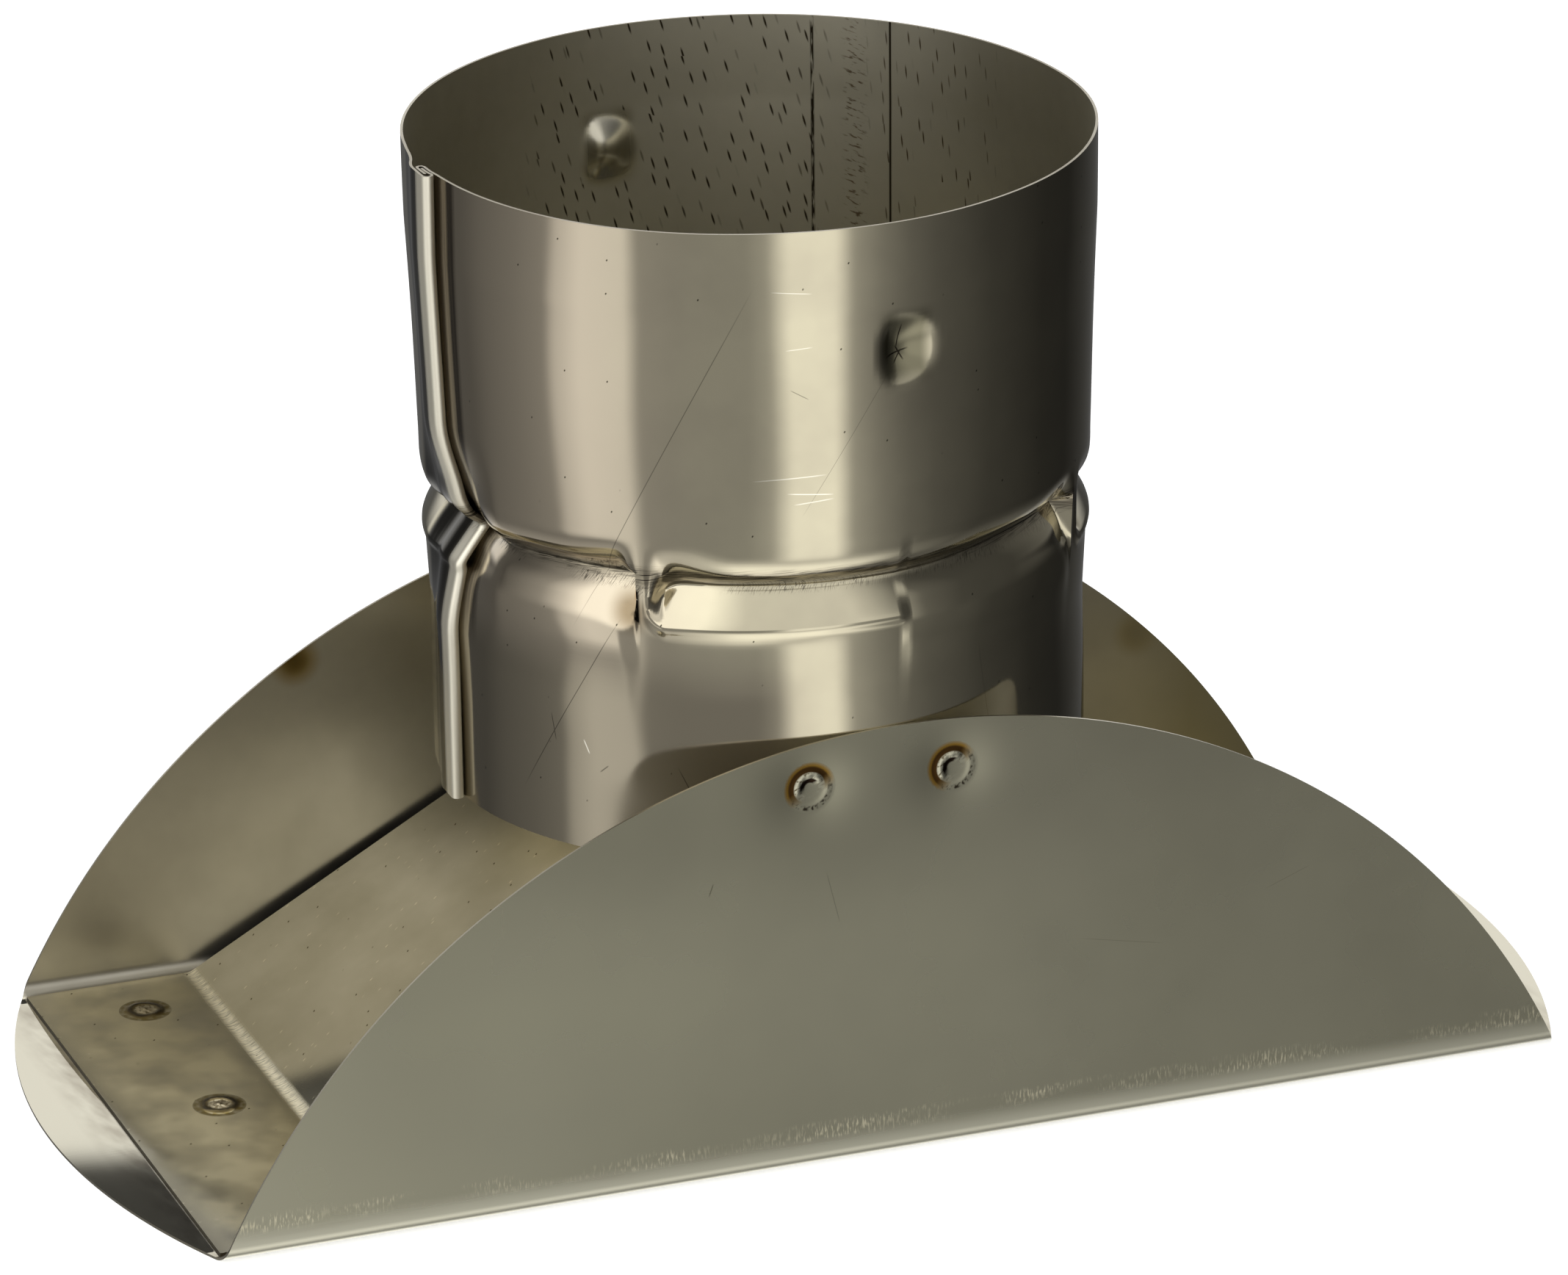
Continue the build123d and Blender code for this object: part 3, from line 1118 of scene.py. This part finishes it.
        # The front wing's hidden face is painted pale and made matt near the collar: painted light that
        # brightens its image in the collar
        pale = product(
            tree,
            near(tree, depth, -50.0, 6.0, 12.0),
            near(tree, across, -4.3, 66.0, 92.0),
            near(tree, height, 68.0, 30.0, 52.0),
        )
        darken(material, pale, "#F4F3F0")
        roughen(material, pale, 0.92)
        spot = tree.nodes["place"].outputs["Object"]
        for x, z in ((-61.4, 49.6), (80.4, 34.2), (97.6, 15.4)):
            paint_heat(material, spot, (x, self.strip_half_width + 1.0, z), 2.4, 5.5)
        folded = add_node(tree, "ShaderNodeVectorMath", {"operation": "ABSOLUTE"}, {0: spot})
        out, _, rise = split(tree, folded)
        bare, level, rubbed, far_half_shade = [
            add_node(
                tree,
                "ShaderNodeMapRange",
                {"From Min": none * MM, "From Max": full * MM, "To Max": most},
                {"Value": value},
            )
            for value, none, full, most in (
                (out, 105.8, 106.6, 1.0),
                (rise, 2.2, 1.2, 1.0),
                (out, 112.5, 107.0, 0.8),
                (across, 30.0, 90.0, 1.0),
            )
        ]
        # The strip's bare ends are still mirror smooth, painted lighter as a painted reflection, and
        # browned where they were rubbed
        ends = product(tree, bare, level)
        roughen(material, ends, 0.02)
        darken(material, ends, "#D0CBB8")
        brown = grit(tree, tree.nodes["place"].outputs["UV"], (7.0, 2.5), 100.0, (0.30, 0.75))
        darken(material, product(tree, ends, rubbed, brown), "#8E8472")
        # Painted shade: the far wing's other half is painted browner
        high = near(tree, height, 60.0, 52.0, 57.0)
        darken(material, product(tree, far_half_shade, high), "#716A52")
        return material


def satin_wing(name: str) -> Material:
    """Satin stainless of the wings, grain along the folds, with painted shade: greyer towards the top and
    on the right.

    Args:
        name: name of the material.

    Returns:
        The material.
    """
    material = RolledStainless(
        name, "#BAB7A1", "#B0AD95", 0.24, 0.29, cloud_size=45.0, grain_size=0.6, grain_depth=0.0035
    ).build()
    tree = material.node_tree
    length, _, height = split(tree, tree.nodes["place"].outputs["Object"])
    across = add_node(
        tree,
        "ShaderNodeMapRange",
        {"From Min": -0.08, "From Max": 0.03, "interpolation_type": "SMOOTHSTEP"},
        {"Value": length},
    )
    # Painted shade: the right part is painted greyer
    darken(material, across, "#9B9884")
    # Painted shade: greyer towards the top
    darken(material, near(tree, height, 64.0, 4.0, 34.0), "#8E8B79")
    streaks = grit(tree, tree.nodes["place"].outputs["Object"], (90.0, 9.0), 0.0, (0.35, 0.75))
    darken(material, streaks, "#97947F")
    return material


def paint_heat(
    material: Material,
    spot: Source,
    centre: tuple[float, float, float],
    burnt: float,
    reach: float,
) -> None:
    """Paint the brown and straw rings that a weld's heat leaves on stainless steel.

    Args:
        material: a material with a principled shader named steel.
        spot: Object coordinates.
        centre: centre of the rings in millimetres.
        burnt: radius of the dark middle.
        reach: radius at which the straw colour ends.
    """
    tree = material.node_tree
    away = add_node(
        tree, "ShaderNodeVectorMath", {"operation": "DISTANCE", 1: tuple(c * MM for c in centre)}, {0: spot}
    ).outputs["Value"]
    darken(material, near(tree, away, 0.0, burnt, reach), "#8A7440")
    darken(material, near(tree, away, 0.0, burnt * 0.4, (burnt + reach) / 2), "#2E2210")


@dataclass
class Deflector:
    """The deflector: one strip folded into a gable with a tab at each end."""

    sheet: float = 0.4
    reach: float = 106.13
    slope_foot: float = 79.8
    ridge: float = 45.03
    half_width: float = 48.3
    bend_radius: float = 2.0
    rows: int = 48
    columns: int = 220

    def flat_length(self) -> float:
        """Length of the strip before it was folded.

        Returns:
            The length in millimetres.
        """
        slope = atan((self.ridge - self.sheet) / self.slope_foot)
        middle = self.bend_radius + self.sheet / 2
        legs = middle * (tan(slope / 2) * 2 + tan(slope))
        slope_length = sqrt(self.slope_foot**2 + (self.ridge - self.sheet) ** 2)
        return 2 * (self.reach - self.slope_foot + slope_length - legs + 2 * middle * slope)

    def surface(self) -> tuple[np.ndarray, np.ndarray]:
        """Places of the grid points of the sheet's middle.

        Returns:
            The points in millimetres and their places on the flat strip.
        """
        low = self.sheet * 1.5
        slope = atan((self.ridge - self.sheet) / self.slope_foot)
        middle = self.bend_radius + self.sheet / 2
        length_tab = self.reach - self.slope_foot - middle * tan(slope / 2)
        bend = middle * slope
        half = self.flat_length() / 2
        straight = half - length_tab - 2 * bend
        along = spread(
            0, 2 * half, self.columns,
            [(length_tab, 3.0, 6.0), (2 * half - length_tab, 3.0, 6.0), (half, 3.0, 6.0)],
        )
        mirrored = np.where(along > half, 2 * half - along, along)
        turned = np.clip((mirrored - length_tab) / middle, 0, slope)
        up = np.clip(mirrored - length_tab - bend, 0, straight)
        x = -self.reach + np.minimum(mirrored, length_tab) + middle * np.sin(turned) + up * cos(slope)
        z = low + middle * (1 - np.cos(turned)) + up * sin(slope)
        crown = np.clip((mirrored - length_tab - bend - straight) / middle, 0, slope)
        x = x + middle * (sin(slope) - np.sin(slope - crown))
        z = z + middle * (np.cos(slope - crown) - cos(slope))
        x = np.where(along > half, -x, x)
        y = np.linspace(-self.half_width, self.half_width, self.rows)
        x, flat_y = np.meshgrid(x, y)
        z = np.broadcast_to(z, x.shape)
        along = np.broadcast_to(along, x.shape)
        return np.stack([x, flat_y, z], axis=-1), np.stack([along, flat_y], axis=-1)

    def build(self) -> Piece:
        """Model and dress the deflector.

        Returns:
            The deflector.
        """
        points, spots = self.surface()
        piece = formed_sheet("deflector_sheet", points, spots)
        face = self.finish()
        # Painted shade: the deflector's cut edge is painted dark, for the shade in the gaps along it
        edge = RolledStainless("sheared_stainless_shaded_edge", "#5E5646", "#4C4538", 0.4, 0.5).build()
        give_thickness(piece, self.sheet, [face, face, edge])
        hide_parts("deflector_plate")
        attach(piece, "root")
        return piece

    def finish(self) -> Material:
        """Finish of the deflector: the same sheet, yellowed in blotches and speckled.

        Returns:
            The material.
        """
        material = blotched_deflector("blotched_stainless_deflector")
        tree = material.node_tree
        place = tree.nodes["place"].outputs["UV"]
        along, _, _ = split(tree, place)
        # The press has rubbed the bend of each tab, which is painted light as a painted highlight over the
        # rub marks, and the tabs are dusty
        fold = self.reach - self.slope_foot
        fields = grit(tree, place, (9.0, 9.0), 0.0, (0.30, 0.60))
        for bend in (fold, self.flat_length() - fold):
            rub_and_highlight = near(tree, along, bend, 0.5, 1.7)
            hairs = grit(tree, place, (2.0, 0.4), 0.0, (0.35, 0.55))
            darken(material, product(tree, rub_and_highlight, hairs), "#F0E8CF")
            roughen(material, rub_and_highlight, 0.55)
            middle = fold * 0.5 if bend == fold else self.flat_length() - fold * 0.5
            dust = product(tree, near(tree, along, middle, fold * 0.3, fold * 0.55), fields)
            darken(material, dust, "#E4DBBA")
            roughen(material, dust, 0.2)
        flecks = dashes(tree, place, 2.6, (0.9, 0.3), 25.0, 0.25)
        darken(material, product(tree, flecks, fields), "#E8DFC4")
        specks = dashes(tree, place, 6.0, (0.6, 0.35), 50.0, 0.5)
        darken(material, specks, "#5A4E30")
        return material


def blotched_deflector(name: str) -> Material:
    """Stainless of the deflector, yellowed by handling.

    Args:
        name: name of the material.

    Returns:
        The material.
    """
    return RolledStainless(name, "#C6C0AB", "#B6B099", 0.08, 0.13, cloud_size=22.0).build()


@dataclass
class Welds:
    """Plug welds: four that hold the collar in the wings, six that hold the deflector's tabs."""

    reach: float = 5.2
    count: int = 41
    thickness: float = 0.3
    wing_offset: float = 11.2
    wing_height: float = 60.03
    wing_foot: tuple[float, float] = (50.8, 2.44)
    wing_lean: float = 1.18
    wing_dent: float = 0.5
    collar_offset: float = -4.3
    tab_inset: float = 90.63
    tab_pitch: float = 37.0
    tab_top: float = 0.8

    def patch(self, name: str, tab: bool, corner: Matrix, twist: float) -> Piece:
        """One weld and the sheet round it, standing on its sheet.

        Args:
            name: name of the piece.
            tab: whether it is a flat, round weld of a tab, or a torn one of a wing.
            corner: place of the weld, with its normal along Z, in millimetres.
            twist: turn of the weld in degrees.

        Returns:
            The surface of the weld.
        """
        side = np.linspace(-1, 1, self.count)
        a, b = np.meshgrid(side, side)
        p = self.reach * a * np.sqrt(1 - b * b / 2)
        q = self.reach * b * np.sqrt(1 - a * a / 2)
        away = np.hypot(p, q)
        rise = 0.07 * hump(away, 3.6) - 0.02
        turn = radians(twist)
        over = p * cos(turn) + q * sin(turn)
        across = q * cos(turn) - p * sin(turn)
        ripple = 0.04 * np.sin(5 * p + 2.1) * np.sin(4 * q + 0.6)
        if tab:
            rise += 0.20 * hump(away - 2.3, 0.5) * (1 + 0.4 * np.sin(2 * np.arctan2(across, over)))
            rise += (0.16 + ripple * 2) * hump(away, 1.2)
        else:
            crescent = hump(away - 1.9, 0.6) * soft_step(over, -0.3, 0.7)
            rise += (0.28 + ripple) * crescent
            rise += 0.05 * hump(away - 2.9, 0.5) * soft_step(-over, 0.5, 2.0)
            rise -= self.wing_dent * hump(away, 5.5)
        local = np.stack([p, q, rise, np.ones_like(p)], axis=-1)
        points = (local @ np.array(corner).T)[..., :3]
        return formed_sheet(name, points, np.stack([over, across], axis=-1))

    def group(
        self, name: str, patches: list[Piece], finish: Material
    ) -> Piece:
        """Join patches into one piece with thickness.

        Args:
            name: name of the piece.
            patches: the surfaces of its welds.
            finish: its material.

        Returns:
            The piece.
        """
        deselect()
        for patch in patches:
            patch.select_set(True)
        bpy.context.view_layer.objects.active = patches[0]
        bpy.ops.object.join()
        piece = bpy.context.object
        piece.name = piece.data.name = name
        give_thickness(piece, self.thickness, [finish, finish, finish])
        return piece

    def build(self) -> list[Piece]:
        """Model and dress all the welds.

        Returns:
            The wing welds and the tab welds.
        """
        wing = []
        lean = radians(self.wing_lean)
        y = self.wing_foot[0] + (self.wing_foot[1] - self.wing_height) * tan(lean)
        for number, (face, side) in enumerate([(f, s) for f in (-1, 1) for s in (-1, 1)]):
            out = Vector((0, face * cos(lean), sin(lean)))
            along = Vector((-face, 0, 0))
            up = out.cross(along)
            x = self.collar_offset + side * self.wing_offset
            place = Vector((x, face * y, self.wing_height)) - out * self.thickness / 2
            corner = Matrix((along, up, out)).transposed().to_4x4()
            corner.translation = place
            wing.append(self.patch(f"wing_weld_{number}", False, corner, 128.0 - 12.0 * side * face))
        tabs = []
        for number, (side, step) in enumerate([(a, b) for a in (-1, 1) for b in (-1, 0, 1)]):
            corner = Matrix.Translation(
                (side * self.tab_inset, step * self.tab_pitch, self.tab_top - self.thickness / 2)
            )
            tabs.append(self.patch(f"tab_weld_{number}", True, corner, 40.0 * number))
        wing_piece = self.group("wing_weld_beads", wing, self.wing_finish())
        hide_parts("wing_welds")
        tab_piece = self.group("tab_weld_beads", tabs, self.tab_finish())
        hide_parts("tab_welds")
        for piece in (wing_piece, tab_piece):
            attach(piece, "root")
        return [wing_piece, tab_piece]

    def wing_finish(self) -> Material:
        """Finish of a wing weld: a silver crescent in a burnt halo, torn open below it, the opening painted
        dark as painted shade.

        Returns:
            The material.
        """
        material = satin_wing("weld_burnt_wing")
        tree = material.node_tree
        place = tree.nodes["place"].outputs["UV"]
        over, _, _ = split(tree, place)
        away = add_node(tree, "ShaderNodeVectorMath", {"operation": "LENGTH"}, {0: place})
        away = away.outputs["Value"]
        upper, open_side, low = [
            add_node(
                tree, "ShaderNodeMapRange", {"From Min": none * MM, "From Max": full * MM}, {"Value": over}
            )
            for none, full in ((-1.6, 0.6), (0.1, 0.6), (0.0, -1.2))
        ]
        straw = product(tree, near(tree, away, 3.1, 0.4, 1.2), upper)
        darken(material, straw, "#8E6F30")
        brown = product(tree, near(tree, away, 2.85, 0.3, 0.8), upper)
        darken(material, brown, "#3A2812")
        roughen(material, brown, 0.5)
        arc = product(tree, near(tree, away, 1.9, 0.4, 0.65), upper)
        darken(material, arc, "#A9A692")
        roughen(material, arc, 0.3)
        worn = product(tree, arc, grit(tree, place, (0.9, 0.4), 90.0, (0.52, 0.62)))
        darken(material, worn, "#5E5644")
        # Painted shade: the opening below the crescent is painted dark
        inner = near(tree, away, 1.2, 0.25, 0.55)
        slot = product(tree, inner, open_side)
        darken(material, slot, "#1C120A")
        edge = product(
            tree,
            near(tree, away, 3.2, 0.15, 0.5),
            low,
            grit(tree, place, (0.6, 0.6), 0.0, (0.46, 0.60)),
        )
        darken(material, edge, "#3A3428")
        return material

    def tab_finish(self) -> Material:
        """Finish of a tab weld: a dark ring with a bright middle.

        Returns:
            The material.
        """
        material = blotched_deflector("weld_ringed_tab")
        tree = material.node_tree
        place = tree.nodes["place"].outputs["UV"]
        away = add_node(tree, "ShaderNodeVectorMath", {"operation": "LENGTH"}, {0: place})
        reach = away.outputs["Value"]
        ragged = grit(tree, place, (1.6, 1.6), 0.0, (0.25, 0.55))
        darken(material, product(tree, near(tree, reach, 2.9, 0.6, 1.7), ragged), "#85753F")
        darken(material, near(tree, reach, 2.4, 0.3, 0.9), "#6A5D3C")
        ring = product(tree, near(tree, reach, 2.35, 0.12, 0.45), ragged)
        darken(material, ring, "#3A3120")
        darken(material, near(tree, reach, 0.0, 1.3, 1.9), "#C4B99E")
        rough_top = product(
            tree, near(tree, reach, 0.0, 1.8, 2.4), grit(tree, place, (1.1, 0.5), 20.0, (0.46, 0.62))
        )
        darken(material, rough_top, "#75694C")
        roughen(material, near(tree, reach, 0.0, 2.2, 3.6), 0.26)
        return material


@dataclass(frozen=True)
class PhotoCamera:
    """The camera that took the photograph, fitted to the object's edges in it."""

    target: tuple[float, float, float] = (-4.29, 0.0, 80.0)
    azimuth: float = -21.38
    elevation: float = 20.94
    distance: float = 1241.93
    focal_pixels: float = 11304.18
    width_pixels: int = 2135
    yaw: float = 0.18
    pitch: float = -0.70
    roll: float = 0.10
    sensor: float = 36.0

    def build(self) -> None:
        """Place the camera and make it the scene's."""
        turn, rise = radians(self.azimuth), radians(self.elevation)
        back = Vector((sin(turn) * cos(rise), -cos(turn) * cos(rise), sin(rise)))
        forward = -back
        right = forward.cross(Vector((0, 0, 1))).normalized()
        up = right.cross(forward)
        frame_axes = Matrix((right, up, back)).transposed()
        aim = (
            Matrix.Rotation(-radians(self.yaw), 3, "Y")
            @ Matrix.Rotation(radians(self.pitch), 3, "X")
            @ Matrix.Rotation(radians(self.roll), 3, "Z")
        )
        data = bpy.data.cameras.new("photo_camera")
        data.sensor_fit = "HORIZONTAL"
        data.sensor_width = self.sensor
        data.lens = self.focal_pixels / self.width_pixels * self.sensor
        data.clip_end = 100.0
        camera = bpy.data.objects.new("photo_camera", data)
        bpy.context.scene.collection.objects.link(camera)
        camera.matrix_world = Matrix.Translation(
            (Vector(self.target) + back * self.distance) * MM
        ) @ (frame_axes @ aim).to_4x4()
        bpy.context.scene.camera = camera


@dataclass(frozen=True)
class Studio:
    """Plain pale floor, and a surround whose brightness by direction the steel mirrors.

    The bands are fitted to those on the steel in the photograph, so they belong to its view.
    """

    floor_size: float = 12.0
    floor_tone: str = "#E2E2E2"
    floor_glow: float = 0.55
    peak: float = 2.2
    top_level: float = 0.9
    # Plan angle in degrees and brightness of the surround just below the horizon
    low_bands: tuple[tuple[float, float], ...] = (
        (-300.0, 0.11),
        (-225.0, 0.14),
        (-212.0, 0.22),
        (-198.0, 0.29),
        (-184.0, 0.39),
        (-180.0, 0.86),
        (-170.0, 1.23),
        (-154.0, 1.18),
        (-149.0, 0.48),
        (-138.0, 0.45),
        (-112.0, 0.45),
        (-105.0, 0.61),
        (-98.0, 1.64),
        (-83.0, 1.64),
        (-77.0, 0.59),
        (-67.0, 0.36),
        (-57.0, 0.23),
        (-47.0, 0.16),
        (-25.0, 0.08),
        (2.0, 0.04),
        (20.0, 0.03),
        (50.0, 0.08),
        (59.0, 0.11),
    )

    # The same higher up, where a large soft box stands to the left of the camera
    high_bands: tuple[tuple[float, float], ...] = (
        (-300.0, 1.10),
        (-248.0, 1.10),
        (-238.0, 0.16),
        (-215.0, 0.12),
        (-206.0, 0.20),
        (-190.0, 0.50),
        (-180.0, 1.20),
        (-172.0, 2.00),
        (-130.0, 2.10),
        (-116.0, 1.20),
        (-75.0, 1.30),
        (-66.0, 0.90),
        (-53.0, 0.22),
        (-38.0, 0.11),
        (-15.0, 0.09),
        (20.0, 0.30),
        (45.0, 1.00),
        (59.0, 1.10),
    )

    # How much of the pale floor's light reaches the steel from each side
    floor_shares: tuple[tuple[float, float], ...] = (
        (-300.0, 0.90),
        (-255.0, 0.90),
        (-225.0, 0.25),
        (-170.0, 0.30),
        (-140.0, 0.50),
        (-118.0, 0.90),
        (-80.0, 1.00),
        (-66.0, 0.80),
        (-50.0, 0.22),
        (-25.0, 0.10),
        (20.0, 0.12),
        (59.0, 0.90),
    )

    # Heights of a direction, from -1 straight down to 1 straight up, at which one zone of the
    # surround turns into the next, and the brightness of the ground zone from straight down
    ground_blend: tuple[float, float] = (-0.42, -0.62)
    high_blend: tuple[float, float] = (-0.13, 0.05)
    top_blend: tuple[float, float] = (0.78, 0.95)
    ground_levels: tuple[tuple[float, float], ...] = ((0.02, 2.2), (0.10, 2.2), (0.25, 1.9), (0.45, 1.0))
    # Where a dark lintel hangs, by plan angle, and the heights of its lower edge and of the window
    lintel_shares: tuple[tuple[float, float], ...] = (
        (-300.0, 1.0), (-246.0, 1.0), (-238.8, 0.0), (24.0, 0.0), (34.8, 1.0)
    )
    lintel: tuple[float, float] = (0.4238, 0.4262)
    lintel_shade: float = 0.94
    window: tuple[float, float] = (0.50, 0.60)
    window_light: float = 1.3

    def build(self) -> None:
        """Build floor and world."""
        self.floor()
        self.world()
        bpy.context.scene.view_settings.view_transform = "Standard"
        bpy.context.scene.cycles.glossy_bounces = 10

    def floor(self) -> None:
        """Lay the floor."""
        deselect()
        bpy.ops.mesh.primitive_plane_add(size=self.floor_size)
        floor = bpy.context.object
        floor.name = "floor"
        material = bpy.data.materials.new("matt_paper_floor")
        material.use_nodes = True
        shader = material.node_tree.nodes["Principled BSDF"]
        shader.inputs["Base Color"].default_value = linear(self.floor_tone)
        shader.inputs["Roughness"].default_value = 1.0
        shader.inputs["Specular IOR Level"].default_value = 0.0
        tree = material.node_tree
        ray = add_node(tree, "ShaderNodeLightPath")
        seen = ray.outputs["Is Camera Ray"]
        for other in ("Is Glossy Ray", "Is Transmission Ray"):
            seen = add_node(
                tree, "ShaderNodeMath", {"operation": "MAXIMUM"}, {0: seen, 1: ray.outputs[other]}
            )
        glow = add_node(tree, "ShaderNodeMath", {"operation": "MULTIPLY", 1: self.floor_glow}, {0: seen})
        shader.inputs["Emission Color"].default_value = (1.0, 1.0, 1.0, 1.0)
        tree.links.new(glow.outputs[0], shader.inputs["Emission Strength"])
        floor.data.materials.append(material)
        # The world's lower half lights and shows in the steel in the floor's place
        floor.visible_glossy = False
        floor.visible_shadow = False

    def world(self) -> None:
        """Light the world by direction."""
        world = bpy.data.worlds.new("studio")
        bpy.context.scene.world = world
        world.use_nodes = True
        tree = world.node_tree
        background = tree.nodes["Background"]
        background.inputs["Color"].default_value = (1.0, 1.0, 1.0, 1.0)
        ray = add_node(tree, "ShaderNodeTexCoord")
        parts = add_node(tree, "ShaderNodeSeparateXYZ", links={0: ray.outputs["Generated"]})
        plan = add_node(
            tree, "ShaderNodeMath", {"operation": "ARCTAN2"}, {0: parts.outputs[1], 1: parts}
        )
        start = self.low_bands[0][0]
        share = add_node(
            tree,
            "ShaderNodeMapRange",
            {"clamp": False, "From Min": radians(start), "From Max": radians(start + 360)},
            {"Value": plan},
        )
        wrapped = add_node(tree, "ShaderNodeMath", {"operation": "FRACT"}, {0: share})
        ramps = []
        for bands, white in (
            (self.low_bands, self.peak),
            (self.high_bands, self.peak),
            (self.lintel_shares, 1.0),
            (self.floor_shares, 1.0),
        ):
            ramps.append(add_node(tree, "ShaderNodeValToRGB", links={0: wrapped}))
            set_stops(ramps[-1], [((angle - start) / 360, level / white) for angle, level in bands])
        low, high, back, around = ramps
        height = parts.outputs[2]
        lintel, window = [
            add_node(
                tree,
                "ShaderNodeMapRange",
                {"From Min": none, "From Max": full, "To Max": most},
                {"Value": height},
            )
            for (none, full), most in ((self.lintel, self.lintel_shade), (self.window, self.window_light))
        ]
        step = add_node(tree, "ShaderNodeMath", {"operation": "SUBTRACT"}, {0: lintel, 1: window})
        shaded = product(tree, back, step)
        kept = add_node(tree, "ShaderNodeMath", {"operation": "SUBTRACT", 0: 1.0}, {1: shaded})
        high = product(tree, high, kept)
        top = add_node(tree, "ShaderNodeValue")
        top.outputs[0].default_value = self.top_level / self.peak
        depth = add_node(tree, "ShaderNodeMath", {"operation": "ADD", 1: 1.0}, {0: height})
        ground = add_node(tree, "ShaderNodeValToRGB", links={0: depth})
        set_stops(ground, [(place, level / self.peak) for place, level in self.ground_levels])
        ground = product(tree, ground, around)
        level = low
        for other, start_height, end_height in (
            (ground, *self.ground_blend),
            (high, *self.high_blend),
            (top, *self.top_blend),
        ):
            share = add_node(
                tree,
                "ShaderNodeMapRange",
                {"From Min": start_height, "From Max": end_height, "interpolation_type": "SMOOTHSTEP"},
                {"Value": height},
            )
            level = add_node(
                tree,
                "ShaderNodeMix",
                {"data_type": "FLOAT"},
                {0: share, FIRST_NUMBER: level, SECOND_NUMBER: other},
            )
        bright = add_node(tree, "ShaderNodeMath", {"operation": "MULTIPLY", 1: self.peak}, {0: level})
        tree.links.new(bright.outputs[0], background.inputs["Strength"])


def main() -> None:
    """Build every piece, the light and the camera."""
    logging.basicConfig(level=logging.INFO, format="%(name)s: %(message)s")
    made = [part.build() for part in (Collar(), CapPlate(), Deflector())]
    made += Welds().build()
    for piece in made:
        log.info("%s has %d faces", piece.name, len(piece.data.polygons))
    Studio().build()
    PhotoCamera().build()


if __name__ == "__main__":
    main()
